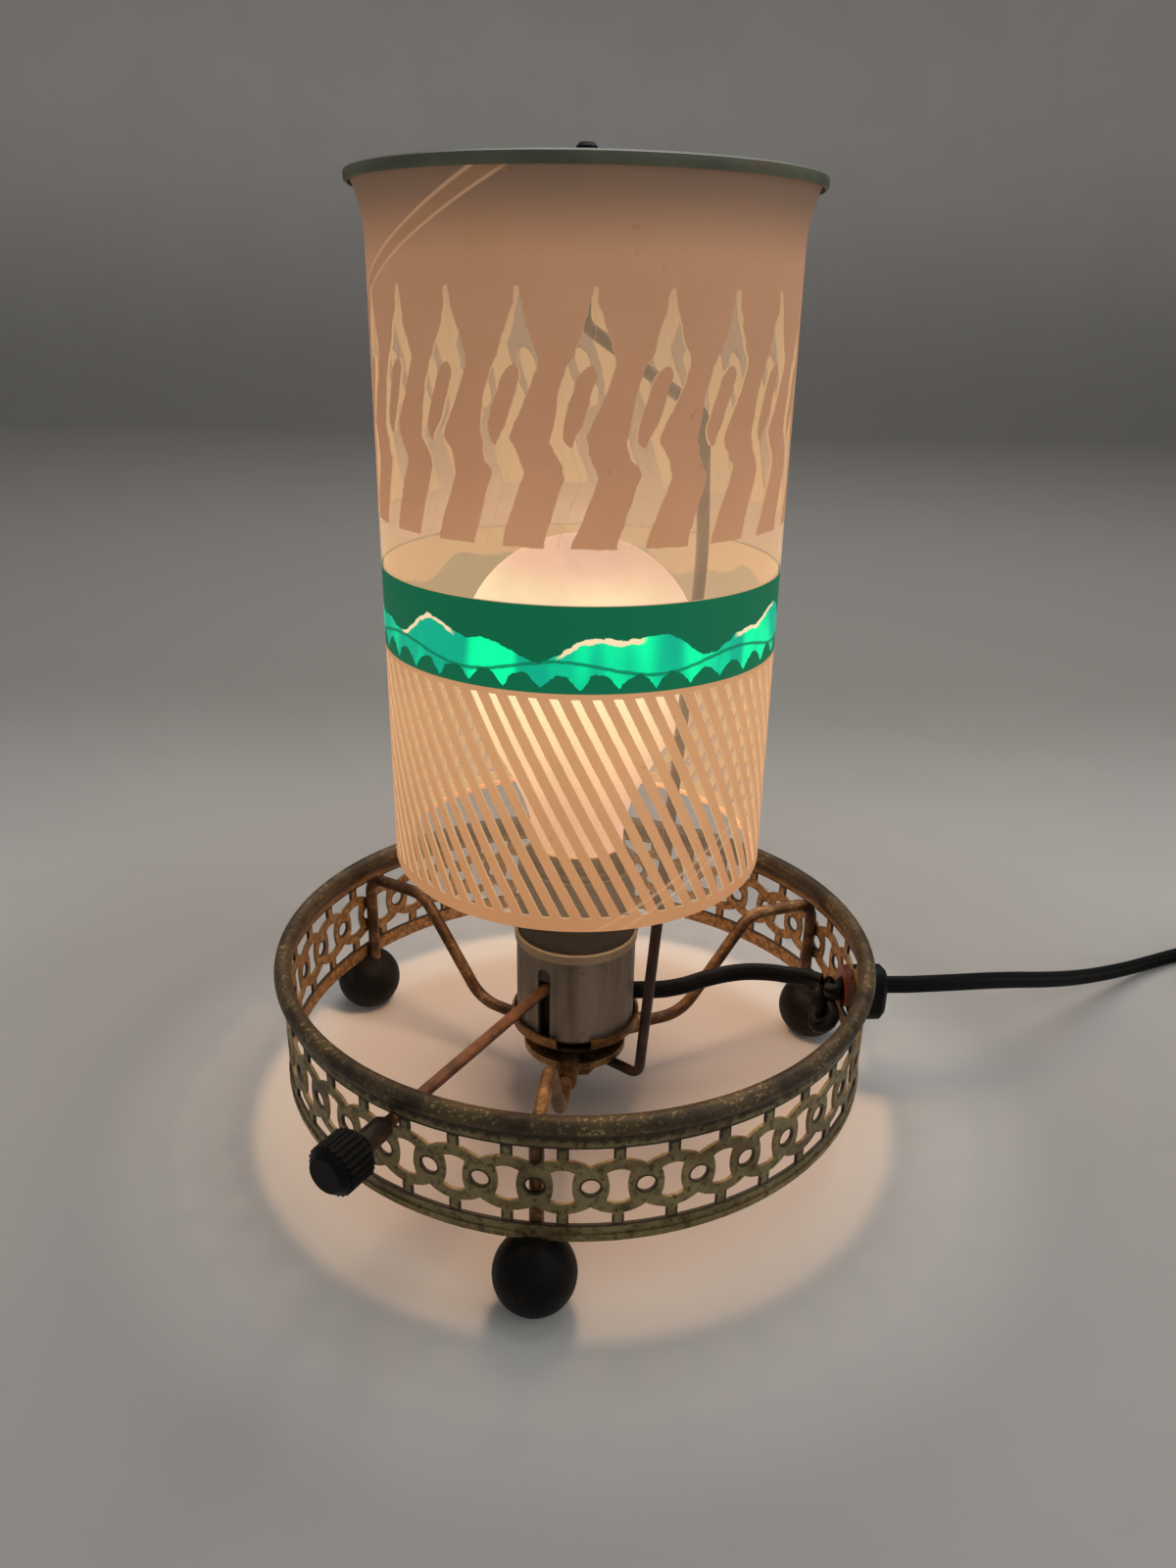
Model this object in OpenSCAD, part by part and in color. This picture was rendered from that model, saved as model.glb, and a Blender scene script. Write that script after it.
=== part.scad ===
// Rotating motion lamp: a printed drum turns on a needle over a bulb, above a pierced
// gallery ring on three ball feet. Origin on the table under the drum axis, +Z up,
// the front of the lamp towards -Y. An azimuth runs from the front, positive to the right.

/* [Gallery ring] */
// Outer radius of the pierced band
band_r = 82.5; // [78:0.5:90]
// Sheet thickness of the band
band_t = 0.8; // [0.6:0.1:1.2]
// Height of the band's lower edge above the table
band_bottom = 19; // [18:0.5:20]
// Height of the band from its lower edge to the middle of the rolled rim
band_h = 33; // [32:0.5:36]
// Radius of the rolled rim bead
bead_r = 2.4; // [1.8:0.1:2.8]
// Height of the small bead pressed along the lower edge
foot_bead_h = 1.6; // [1.2:0.1:2]

/* [Pierced pattern] */
// Number of links in the chain round the band
links = 40; // [38:1:42]
// Azimuth of one round hole in degrees
first_hole_az = 2.9; // [2.9:0.1:2.9]
// Height of the chain's middle above the band's lower edge
chain_h = 15.9; // [15.5:0.1:16.5]
// Radius of the round holes
hole_r = 2.2; // [1.8:0.1:2.4]
// Width of the posts between the windows
post_w = 2.8; // [2.2:0.1:3.4]
// Distance from the chain's middle to a window's straight edge
window_reach = 11; // [10.6:0.1:11.2]
// Distance from the chain's middle to the outside of a link, at a post
link_reach = 7.7; // [7.4:0.1:7.9]
// Radius of the curves outside the links
link_arc_r = 11; // [9:0.5:14]
// Radius of the opening in a link
eye_r = 4.95; // [4.6:0.05:5.1]
// Half the width of a link's opening at its waist
waist = 2.16; // [1.8:0.02:2.3]

/* [Legs and feet] */
// Azimuths of the three legs in degrees
leg_azimuths = [-6, -123, 112];
// Radius of the leg wire
leg_wire_r = 1.8; // [1.5:0.1:2]
// Height of the leg wires at the hub
hub_z = 18.5; // [18.3:0.1:18.8]
// Radius at which a leg starts to rise
leg_rise_r = 35.2; // [34:0.2:37]
// Radius at which a leg reaches its crown
leg_crown_r = 57.5; // [56:0.5:60]
// Height of a leg's crown
leg_crown_z = 49; // [46:0.5:49.5]
// Diameter of the ball feet
foot_d = 20.4; // [19:0.2:22]
// Depth of the worn flat under a foot
foot_flat = 0.15; // [0.1:0.05:0.3]
// Depth of the bore in a foot
foot_bore_h = 10; // [9:0.5:12]
// How far the feet stand outside the legs
foot_splay = 3.4; // [2.6:0.1:3.8]

/* [Hub] */
// Radius of the hub plates
hub_r = 15; // [14:0.5:16]
// Thickness of a hub plate
hub_t = 1.1; // [0.9:0.1:1.3]
// Radius at which the channels end
channel_end_r = 22; // [20:0.5:24]
// Wall of the half-round channels that clamp the legs
channel_wall = 1.1; // [0.9:0.1:1.2]
// Radius of the threaded nipple
nipple_r = 4.85; // [4.7:0.05:5]
// Radius of the wire way through the nipple
nipple_bore_r = 3.2; // [2.8:0.1:3.6]
// Width of the nut across its flats
nut_w = 14.2; // [13.5:0.1:15]
// Thickness of the nut
nut_h = 3.4; // [3:0.1:3.8]
// Thickness of the washer
washer_h = 1; // [0.8:0.1:1.2]

/* [Socket] */
// Outer radius of the aluminium shell
shell_r = 17.1; // [16.8:0.1:17.6]
// Sheet thickness of the shell
shell_t = 0.5; // [0.4:0.1:0.6]
// Height of the shell's lower edge
shell_bottom = 28.4; // [28:0.1:28.6]
// Length of the shell
shell_h = 28.4; // [26:0.2:29.2]
// Width of the slot for the switch rod
rod_slot_w = 3.9; // [3.8:0.1:4.2]
// Height of the rim of the cap above the middle of the hub
cap_rim_h = 10.9; // [10.7:0.1:11.2]
// Angle of the notch in the cap's rim in degrees
notch_angle = 31; // [26:1:36]
// Length of the insulating liner
liner_h = 50.5; // [49:0.5:52]
// Distance from the outside of the shell to the screw shell that takes the bulb
screw_gap = 3.8; // [3.6:0.05:3.9]
// Distance between the turns of the bulb thread
thread_pitch = 3.6; // [3.6:0.1:3.7]

/* [Switch] */
// Azimuth of the switch rod in degrees
rod_az = -31.2; // [-31.5:0.1:-31.1]
// Height of the switch rod above the middle of the hub
rod_h = 25.4; // [25.2:0.1:25.5]
// Radius of the switch rod
rod_r = 1.6; // [1.4:0.05:1.65]
// Distance from the band to the rod's coupling
coupling_gap = 2.3; // [2:0.1:3]
// Length of the coupling
coupling_l = 9.2; // [8:0.2:11]
// Radius of the coupling
coupling_r = 2.9; // [2.6:0.1:3.2]
// Diameter of the knob
knob_d = 12.8; // [12:0.2:14]
// Length of the knob
knob_l = 11; // [10:0.5:13]
// Number of flutes round the knob
flutes = 24; // [20:1:26]

/* [Pivot wire] */
// Azimuth of the plane in which the wire stands
wire_az = 52; // [50:1:54]
// Radius of the wire
wire_r = 1.5; // [1.3:0.05:1.6]
// Distance from the axis at which the wire turns upward
wire_foot_r = 23.6; // [23.4:0.2:25]
// Distance from the widest glass to the wire
wire_gap = 3.3; // [3.1:0.1:4]
// Height of the widest place
wire_out_z = 168; // [164:1:170]
// Height at which the wire turns inward
wire_turn_z = 199; // [196:0.5:202]
// Height at which the wire turns up on the axis
wire_axis_z = 216.6; // [214:0.2:218]
// Length of the needle's cone
needle_l = 6; // [4:0.5:8]

/* [Bulb] */
// Radius of the bulb
bulb_r = 31; // [30:0.1:31.2]
// Height of the bulb's top
bulb_top = 168; // [166:0.5:170]
// Distance from the screw shell's inside to the neck of the glass
neck_gap = 0.7; // [0.6:0.05:1]
// Thickness of the glass
glass_t = 0.9; // [0.7:0.1:1.2]
// Height of the joint between glass and base
neck_z = 84; // [83:0.5:85]
// Length of the bulb's threaded base
bulb_base_h = 20.5; // [20:0.2:21]

/* [Drum] */
// Outer radius of the drum
drum_r = 49.6; // [49:0.1:51]
// Thickness of the drum's sheet
drum_t = 0.5; // [0.4:0.1:0.7]
// Height of the drum's lower edge
drum_bottom = 82.3; // [81:0.1:84]
// Height of the printed sleeve up to the flare
sleeve_h = 151.4; // [150:0.2:154]
// Height of the flare
flare_h = 12.6; // [11:0.2:14]
// How far the flare spreads
flare_out = 2.9; // [2:0.1:4]
// Radius of the edge turned in at the bottom
turn_in_r = 1.4; // [1:0.1:2]
// Thickness of the moulded rim at the top
rim_h = 2.6; // [2.2:0.1:3.2]
// Overhang of the moulded rim
rim_w = 1.1; // [0.8:0.1:1.5]

/* [Turbine and bearing] */
// Number of vanes
vanes = 12; // [10:1:14]
// Pitch of the vanes in degrees
vane_pitch = 28; // [22:1:32]
// Thickness of the turbine's sheet
fan_t = 0.7; // [0.6:0.1:0.9]
// Radius of the turbine's middle disc
fan_hub_r = 9; // [8:0.5:11]
// Width of the turbine's outer ring
fan_ring_w = 4.4; // [3.8:0.1:5]
// Outer radius of the bearing cup
cup_r = 3.6; // [3.4:0.1:4.2]
// Radius of the bearing cup's bore
cup_bore_r = 2.1; // [2:0.05:2.3]
// Height of the bearing cup
cup_h = 11.5; // [9.5:0.5:12.5]
// Radius of the cap on the bearing cup
cap_r = 2.4; // [2:0.1:3]
// Height of the cap above the cup
cap_h = 2.3; // [1.8:0.1:2.8]

/* [Cord] */
// Width of the flat two-core cord
cord_w = 5.5; // [5.5:0.1:5.5]
// Thickness of the flat two-core cord
cord_t = 2.9; // [2.9:0.1:2.9]
// Radius of the hole in the band for the bush
grommet_r = 4; // [3.9:0.05:4.1]
// Width of the moulded head outside the band
flange_w = 11; // [10:0.2:12]
// Height of the moulded head
flange_h = 17.4; // [16:0.2:18.6]
// How far the middle of the head lies below the cord
flange_drop = 2.3; // [2:0.1:2.6]
// Thickness of the moulded head
flange_t = 9.5; // [8:0.5:10.5]
// Radius of the coil's middle turn
coil_r = 30; // [30:0.5:30]
// Turns in one layer of the coil
layer_turns = 4; // [4:1:4]
// Distance between the turns in a layer
turn_step = 3.6; // [3.6:0.1:3.6]
// Distance between the two layers
layer_step = 6.1; // [6.1:0.1:6.1]

/* [Plug] */
// Length of the moulded plug
plug_l = 26; // [24:0.5:30]
// Width of the plug across the blades
plug_w = 22; // [20:0.5:24]
// Thickness of the plug
plug_t = 13; // [12:0.5:14]
// Distance between the blades
blade_gap = 12.7; // [12.7:0.1:12.7]
// Length of the blades outside the plug
blade_l = 16; // [15:0.5:17]

/* [Hidden] */
$fn = 64;

eps = 0.01;
slip = 0.05;       // gap between pieces that are pushed or soldered together
running = 0.3;     // gap round pieces that turn

// Gallery and legs
band_in = band_r - band_t;
bead_z = band_bottom + band_h;
bead_ring_r = band_r - band_t / 2;
chain_z = band_bottom + chain_h;
link_angle = 360 / links;
link_w = link_angle * PI / 180 * band_r;
leg_out_r = band_in - leg_wire_r - 2 * slip;
foot_r = foot_d / 2;
foot_z = foot_r - foot_flat;
foot_at_r = leg_out_r + foot_splay;
foot_top_z = band_bottom - 2 * slip;
splay_z = band_bottom - 1.2;
splay = atan2(foot_splay, splay_z - foot_z);
leg_end = foot_bore_h - 2 * slip;
leg_start_r = nipple_r + 2 * wire_r + 0.75;
leg_line = [[leg_start_r, hub_z], [leg_rise_r, hub_z], [leg_crown_r, leg_crown_z],
            [leg_out_r, leg_crown_z - 0.4], [leg_out_r, splay_z],
            [leg_out_r + leg_end * sin(splay), splay_z - leg_end * cos(splay)]];
leg_bends = [0, 12, 8.5, 5.5, 3, 0];
channel_r = leg_wire_r + slip + channel_wall;

// Hub, from the plates down
plate_gap = slip;
eye_z = hub_z - plate_gap - hub_t - slip - wire_r;
washer_top = eye_z - wire_r - slip;
nut_top = washer_top - washer_h - slip;
nipple_bottom = nut_top - nut_h - 1.5;
cap_bottom = hub_z + channel_r + slip;
cap_top = hub_z + cap_rim_h;
cap_wall = 0.8;
cap_rim_r = shell_r + 1.6;
boss_r = 7.2;
boss_top = cap_bottom + 5.6;
nipple_top = boss_top - 0.6;

// Socket
shell_top = shell_bottom + shell_h;
rod_z = hub_z + rod_h;
liner_r = shell_r - shell_t - 0.15;
screw_r = shell_r - screw_gap;
neck_r = screw_r - neck_gap;
liner_t = 0.8;
liner_bottom = boss_top + 0.35;
body_r = liner_r - liner_t - 0.3;
body_bottom = boss_top + slip;
body_top = 55.5;
lead_z = 34.6;
lead_az = 92;
lead_slot_w = cord_t + 2;
terminals = [60, 124];
terminal_r = 2;
contact_tip_z = neck_z - bulb_base_h - 3.6;
cam_room_r = 5;
cam_room_l = 6;
cam_r = 4;
cam_l = 4;

// Switch outside the band
coupling_in = band_r + coupling_gap;
coupling_out = coupling_in + coupling_l;
rod_out_r = coupling_in + 3.4;
stub_r = 1.9;
stub_l = 5;
knob_r = knob_d / 2;

// Pivot wire and bearing
fan_z = drum_bottom + sleeve_h + flare_h - 4.6;
cup_bottom = fan_z - 1.4;
cup_roof = 2.2;
needle_tip_z = cup_bottom + cup_h - cup_roof - running;
wire_out_r = bulb_r + wire_gap + wire_r;
wire_line = [[nipple_r + wire_r + 0.2, eye_z], [wire_foot_r, eye_z], [wire_out_r, wire_out_z],
             [wire_out_r - 1.6, wire_turn_z], [0, wire_axis_z], [0, needle_tip_z - needle_l]];
wire_bends = [0, 3.5, 120, 5, 4, 0];

// Drum
sleeve_top = drum_bottom + sleeve_h;
drum_top = sleeve_top + flare_h;

// Cord
grommet_az = first_hole_az + 10 * link_angle;
function exit_point(r) = [r * sin(grommet_az), -r * cos(grommet_az), chain_z];
cord_out_r = band_r + slip + flange_t;
cord_half_w = cord_w / 2;
cord_half_t = cord_t / 2;
floor_z = cord_half_w + 0.05;
coil_z = floor_z + 0.65;
coil_out_r = coil_r + turn_step * layer_turns / 2;
coil_centre = [263, 50];
coil_in_az = 160;
coil_in = coil_centre + coil_out_r * [sin(coil_in_az), -cos(coil_in_az)];

// Free stretch from the flange down to the table and along it to the coil
run_route = [exit_point(cord_out_r), [95.5, 4.95, 34.85], [100, 5.5, 34.6], [109, 7.6, 33.8],
             [118, 11, 32.2],
             [128, 16.4, 29.4], [139, 23.4, 25.4], [150, 31, 20.8], [161, 39, 16.2],
             [172, 47.2, 11.9], [183, 55.2, 8.3], [195, 63.2, 5.4], [208, 71, 3.6], [222, 78, 2.9],
             [236, 83, 2.9], [250, 86.3, 3.1], [262, 87.5, 3.4]];

// Lead inside the gallery, from the switch to the knot, and from the knot out through the bush
knot_at = [band_in - 7.5, 4.6, 28];
lead_in = [[15.4, 0.6, 34.6], [17.5, 0.7, 34.6], [21, 0.9, 34.6], [26, 1.6, 34.4],
           [knot_at[0] - 42, 3.4, 34.6], [knot_at[0] - 36, 5.9, 35.2], [knot_at[0] - 29, 8.4, 35.6],
           [knot_at[0] - 22, 9.9, 35.6], [knot_at[0] - 15, 10.2, 35.2], [knot_at[0] - 9, 9.4, 34.8],
           [knot_at[0] - 4, 8.4, 34.6]];
lead_out = [[knot_at[0] + 2.6, 0.7, 34.6], [knot_at[0] + 3.5, 1.6, 34.8], exit_point(band_in - 2.6),
            exit_point(band_in), exit_point(cord_out_r - slip)];

// Unit vector along v
function unit(v) = v / norm(v);
// Left normal of a plane vector
function left(v) = [-v[1], v[0]];
// Length cut from each side of a bend
function bend_cut(line, bends, i) =
    i == 0 || i == len(line) - 1 ? 0 :
    let (u = unit(line[i] - line[i - 1]), v = unit(line[i + 1] - line[i]))
    bends[i] * tan(acos(u * v) / 2);

// Wire bent in the XZ plane through the corners of a line; each straight laps its bends by a hair
module bent_wire(line, bends, r) {
    lap = 0.03;
    rotate([90, 0, 0]) {
        for (i = [0 : len(line) - 2]) {
            u = unit(line[i + 1] - line[i]);
            a = line[i] + u * (bend_cut(line, bends, i) - (i > 0 ? lap : 0));
            b = line[i + 1] - u * (bend_cut(line, bends, i + 1) - (i < len(line) - 2 ? lap : 0));
            translate([a[0], a[1], 0]) rotate([0, 0, atan2(u[1], u[0])]) rotate([0, 90, 0])
                cylinder(r = r, h = norm(b - a), $fn = 24);
        }
        for (i = [1 : len(line) - 2]) {
            u = unit(line[i] - line[i - 1]);
            v = unit(line[i + 1] - line[i]);
            turn = acos(u * v);
            side = u[0] * v[1] - u[1] * v[0] > 0 ? 1 : -1;
            start = line[i] - u * bend_cut(line, bends, i);
            c = start + side * bends[i] * left(u);
            az = atan2(start[1] - c[1], start[0] - c[0]);
            translate([c[0], c[1], 0]) rotate([0, 0, side > 0 ? az : az - turn])
                rotate_extrude(angle = turn) translate([bends[i], 0]) circle(r - 0.01, $fn = 24);
        }
    }
}

// Puts a child drawn along +X at an azimuth
module at(az) {
    rotate([0, 0, az - 90]) children();
}

// Flat shape laid against the band at an azimuth and cut or raised along the radius
module through_band(az, z, r0, r1) {
    at(az) translate([r0, 0, z]) rotate([90, 0, 90]) linear_extrude(r1 - r0) children();
}

// Ring of rectangular section
module ring(r_out, r_in, z0, z1) {
    translate([0, 0, z0]) difference() {
        cylinder(r = r_out, h = z1 - z0);
        translate([0, 0, -1]) cylinder(r = r_in, h = z1 - z0 + 2);
    }
}

// Window above or below a hole: one straight edge, two posts and two arcs that meet in a cusp
module outer_window(side) {
    difference() {
        translate([-(link_w - post_w) / 2, side > 0 ? 0 : -window_reach])
            square([link_w - post_w, window_reach]);
        for (k = [-1, 1]) {
            translate([k * link_w / 2, side * (link_reach - link_arc_r)]) circle(link_arc_r);
        }
        square([2 * eye_r, 2 * eye_r], center = true);
    }
}

// Opening of a link: a round eye drawn in at the waist by the discs round the holes
module link_eye() {
    difference() {
        circle(eye_r);
        for (k = [-1, 1]) {
            translate([k * (waist + link_arc_r), 0]) circle(link_arc_r);
        }
    }
}

module gallery_band() {
    color("#5c4a2a") {
        difference() {
            ring(band_r, band_in, band_bottom, bead_z);
            for (k = [0 : links - 1]) {
                az = first_hole_az + k * link_angle;
                through_band(az, chain_z, band_in - 2, band_r + 2)
                    circle(abs(az - grommet_az) < 1 ? grommet_r : hole_r);
                through_band(az, chain_z, band_in - 2, band_r + 2) outer_window(1);
                through_band(az, chain_z, band_in - 2, band_r + 2) outer_window(-1);
                through_band(az + link_angle / 2, chain_z, band_in - 2, band_r + 2) link_eye();
            }
        }
        rotate_extrude($fn = 96) translate([bead_ring_r, bead_z]) circle(bead_r, $fn = 24);
        ring(band_r + 0.4, band_r - 0.2, band_bottom + 0.6, band_bottom + 0.6 + foot_bead_h);
    }
}

module leg(az) {
    color("#8a5a3a") at(az) bent_wire(leg_line, leg_bends, leg_wire_r);
}

module foot(az) {
    lap = 0.8;
    color("#1d1a19") at(az) difference() {
        translate([foot_at_r, 0, foot_z]) sphere(foot_r);
        for (z = [-foot_r, foot_top_z + foot_r]) {
            translate([foot_at_r, 0, z]) cube([foot_d, foot_d, foot_d], center = true);
        }
        translate([leg_out_r, 0, splay_z]) {
            translate([0, 0, -lap]) cylinder(r = leg_wire_r + slip, h = foot_r);
            rotate([0, 180 - splay, 0]) translate([0, 0, -lap])
                cylinder(r = leg_wire_r + slip, h = foot_bore_h + lap);
        }
    }
}

// Hub plate above or below the middle of the leg wires, with half-round channels
module hub_plate(side) {
    color("#9a7848") difference() {
        union() {
            translate([0, 0, hub_z + (side > 0 ? plate_gap : -plate_gap - hub_t)])
                cylinder(r = hub_r, h = hub_t);
            for (az = leg_azimuths) {
                at(az) translate([leg_start_r, 0, hub_z]) rotate([0, 90, 0])
                    cylinder(r = channel_r, h = channel_end_r - leg_start_r);
            }
        }
        translate([0, 0, hub_z + (side > 0 ? -10 + plate_gap : -plate_gap)])
            cylinder(r = channel_end_r + 5, h = 10);
        for (az = leg_azimuths) {
            at(az) translate([leg_start_r - 2, 0, hub_z]) rotate([0, 90, 0])
                cylinder(r = leg_wire_r + slip, h = channel_end_r);
        }
        translate([0, 0, hub_z - 15]) cylinder(r = nipple_r + slip, h = 30);
    }
}

module hub_upper() {
    hub_plate(1);
}

module hub_lower() {
    hub_plate(-1);
}

module hub_nipple() {
    color("#a8834e") ring(nipple_r, nipple_bore_r, nipple_bottom, nipple_top);
}

module hub_washer() {
    color("#7d6a4a") ring(nut_w / 2 + 1, nipple_r + slip, washer_top - washer_h, washer_top);
}

module hub_nut() {
    color("#a8834e") difference() {
        translate([0, 0, nut_top - nut_h]) cylinder(d = nut_w / cos(30), h = nut_h, $fn = 6);
        translate([0, 0, nut_top - nut_h - 1]) cylinder(r = nipple_r + slip, h = nut_h + 2);
    }
}

module socket_cap() {
    shoulder_z = cap_top - 2.8;
    color("#a07a3c") difference() {
        rotate_extrude() polygon([[nipple_r + slip, cap_bottom], [12.5, cap_bottom],
            [cap_rim_r - 0.6, shoulder_z - 0.4], [cap_rim_r, shoulder_z], [cap_rim_r, cap_top],
            [cap_rim_r - cap_wall, cap_top], [cap_rim_r - cap_wall, shoulder_z + 0.4],
            [cap_rim_r - 1.5, shoulder_z], [12.1, cap_bottom + cap_wall], [boss_r, cap_bottom + cap_wall],
            [boss_r, boss_top], [nipple_r + slip, boss_top]]);
        rotate([0, 0, -91 - notch_angle / 2]) rotate_extrude(angle = notch_angle)
            translate([14.6, cap_bottom + 3.4]) square([8, 10]);
    }
}

module socket_shell() {
    color("#8e9092") difference() {
        union() {
            ring(shell_r, shell_r - shell_t, shell_bottom, shell_top - 2);
            ring(shell_r + 0.4, shell_r - shell_t, shell_top - 3, shell_top - 0.6);
            translate([0, 0, shell_top - 0.6]) rotate_extrude() translate([shell_r + 0.05, 0]) circle(0.6);
        }
        at(rod_az) translate([shell_r - 4, -rod_slot_w / 2, shell_bottom - 1])
            cube([8, rod_slot_w, rod_z - shell_bottom + 1 + 4.6]);
        at(rod_az) translate([shell_r - 4, 0, rod_z + 4.6]) rotate([0, 90, 0])
            cylinder(d = rod_slot_w, h = 8);
        at(lead_az) translate([shell_r - 4, -lead_slot_w / 2, shell_bottom - 1])
            cube([8, lead_slot_w, lead_z + cord_half_w + 1 - shell_bottom + 1]);
    }
}

module socket_liner() {
    color("#4b4a47") difference() {
        ring(liner_r, liner_r - liner_t, liner_bottom, liner_bottom + liner_h);
        at(rod_az) translate([liner_r - 4, -rod_slot_w / 2, liner_bottom - 1])
            cube([8, rod_slot_w, rod_z + 2.5 - liner_bottom + 1]);
        at(lead_az) translate([liner_r - 4, -lead_slot_w / 2, liner_bottom - 1])
            cube([8, lead_slot_w, lead_z + cord_half_w + 1 - liner_bottom + 1]);
    }
}

module switch_body() {
    color("#2b2624") difference() {
        union() {
            translate([0, 0, body_bottom]) cylinder(r = body_r, h = body_top - body_bottom);
            ring(body_r, screw_r - 1, body_top - 1, neck_z - bulb_base_h - slip);
        }
        at(rod_az) translate([0, 0, rod_z]) rotate([0, 90, 0]) cylinder(d = rod_slot_w, h = body_r + 1);
        at(rod_az) translate([-cam_room_l / 2, 0, rod_z]) rotate([0, 90, 0])
            cylinder(r = cam_room_r, h = cam_room_l);
        at(lead_az) translate([body_r - 3, -lead_slot_w / 2, body_bottom - 1])
            cube([8, lead_slot_w, lead_z + cord_half_w + 1 - body_bottom + 1]);
        for (az = terminals) {
            at(az) translate([body_r - 0.6, 0, lead_z - 1]) rotate([0, 90, 0])
                cylinder(r = terminal_r + slip, h = 2);
        }
    }
}

module terminal_screws() {
    color("#c8a050") for (az = terminals) {
        at(az) translate([body_r - 0.6 + slip, 0, lead_z - 1]) rotate([0, 90, 0])
            cylinder(r = terminal_r, h = 0.45);
    }
}

// Thin brass shell rolled with the bulb thread
module screw_shell() {
    z0 = neck_z - bulb_base_h;
    crest = 0.35;
    turns = floor((liner_bottom + liner_h - 1 - z0) / thread_pitch);
    color("#b8924c") rotate_extrude() polygon(concat(
        [for (i = [0 : turns * 8]) [screw_r + crest * (1 - cos(i * 45)) / 2, z0 + i * thread_pitch / 8]],
        [for (i = [turns * 8 : -1 : 0]) [screw_r + 0.4 + crest * (1 - cos(i * 45)) / 2,
                                         z0 + i * thread_pitch / 8]]));
}

module centre_contact() {
    color("#c8a050") translate([0, 0, body_top + slip])
        cylinder(r1 = 3, r2 = 1.6, h = contact_tip_z - running - body_top - slip);
}

module switch_cam() {
    color("#c8a050") at(rod_az) translate([-cam_l / 2, 0, rod_z]) rotate([0, 90, 0]) difference() {
        cylinder(r = cam_r, h = cam_l, $fn = 4);
        translate([0, 0, cam_l / 2]) cylinder(r = rod_r + slip, h = cam_l);
    }
}

module switch_rod() {
    color("#6e3f26") at(rod_az) translate([slip, 0, rod_z]) rotate([0, 90, 0])
        cylinder(r = rod_r, h = rod_out_r - slip);
}

module rod_coupling() {
    color("#5a3a26") at(rod_az) translate([coupling_in, 0, rod_z]) rotate([0, 90, 0]) difference() {
        union() {
            cylinder(r1 = coupling_r - 0.5, r2 = coupling_r, h = 0.8);
            translate([0, 0, 0.8]) cylinder(r = coupling_r, h = coupling_l - 0.8);
            translate([0, 0, coupling_l - eps]) cylinder(r = stub_r, h = stub_l);
        }
        translate([0, 0, -1]) cylinder(r = rod_r + slip, h = rod_out_r - coupling_in + 1 + slip);
    }
}

module switch_knob() {
    color("#141312") at(rod_az) translate([coupling_out + slip, 0, rod_z]) rotate([0, 90, 0]) difference() {
        union() {
            cylinder(r1 = knob_r - 1.6, r2 = knob_r - 0.4, h = 1.4);
            translate([0, 0, 1.4]) cylinder(r = knob_r - 0.4, h = knob_l - 3.2);
            translate([0, 0, knob_l - 1.8 - eps]) cylinder(r1 = knob_r - 0.4, r2 = knob_r - 2, h = 1.8);
            for (k = [0 : flutes - 1]) {
                rotate([0, 0, k * 360 / flutes]) translate([knob_r - 0.5, 0, 1.6])
                    cylinder(r = 0.55, h = knob_l - 3.6, $fn = 16);
            }
        }
        translate([0, 0, -1]) cylinder(r = stub_r + slip, h = stub_l + 1.2);
    }
}

module pivot_wire() {
    color("#6a3d28") at(wire_az) {
        bent_wire(wire_line, wire_bends, wire_r);
        translate([0, 0, needle_tip_z - needle_l - 0.1])
            cylinder(r1 = wire_r - 0.03, r2 = 0.3, h = needle_l + 0.1, $fn = 24);
        translate([0, 0, eye_z]) rotate([0, 0, -10]) rotate_extrude(angle = 310)
            translate([wire_line[0][0], 0]) circle(wire_r - 0.06, $fn = 24);
    }
}

// Radius of the glass at a share t of the way from the neck to the widest place
function glass_at(t, r_wide, r_neck) = r_neck + (r_wide - r_neck) * pow(sin(90 * t), 2);

// Half outline of the glass at a distance from the outer face
function glass_line(inset) = let (wide_z = bulb_top - bulb_r, z0 = neck_z + 1) concat(
    [[neck_r - inset, neck_z - 4]],
    [for (t = [0 : 0.125 : 0.875]) [glass_at(t, bulb_r, neck_r) - inset, z0 + (wide_z - z0) * t]],
    [for (a = [0 : 11.25 : 78.75]) [(bulb_r - inset) * cos(a), wide_z + (bulb_r - inset) * sin(a)]],
    [[0, wide_z + bulb_r - inset]]);

module bulb_glass() {
    inner = glass_line(glass_t);
    color("#f6efe2") rotate_extrude() polygon(concat(
        glass_line(0), [for (i = [len(inner) - 1 : -1 : 0]) inner[i]]));
}

// Threaded base of the bulb, crimped round the glass
module bulb_base() {
    base_r = screw_r - 0.25;
    z0 = neck_z - bulb_base_h;
    turns = 4;
    color("#b9a070") rotate_extrude() polygon(concat(
        [[base_r - 3, z0], [base_r - 1.2, z0]],
        [for (i = [0 : turns * 8]) [base_r - 0.6 + 0.35 * (1 - cos(i * 45)) / 2,
                                    z0 + 1 + i * thread_pitch / 8]],
        [[base_r - 0.1, z0 + 16.2], [base_r + 0.2, neck_z], [neck_r + slip, neck_z],
         [neck_r + slip, neck_z - 4.4], [base_r - 1.2, neck_z - 4.8], [base_r - 1.2, z0 + 1.2],
         [base_r - 3, z0 + 1.2]]));
}

module bulb_contact() {
    z0 = neck_z - bulb_base_h;
    color("#201c1a") translate([0, 0, contact_tip_z]) {
        cylinder(r = 3.4, h = 1);
        translate([0, 0, 1]) cylinder(r1 = 4, r2 = screw_r - 3.4, h = z0 - contact_tip_z + 1);
    }
}

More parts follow.
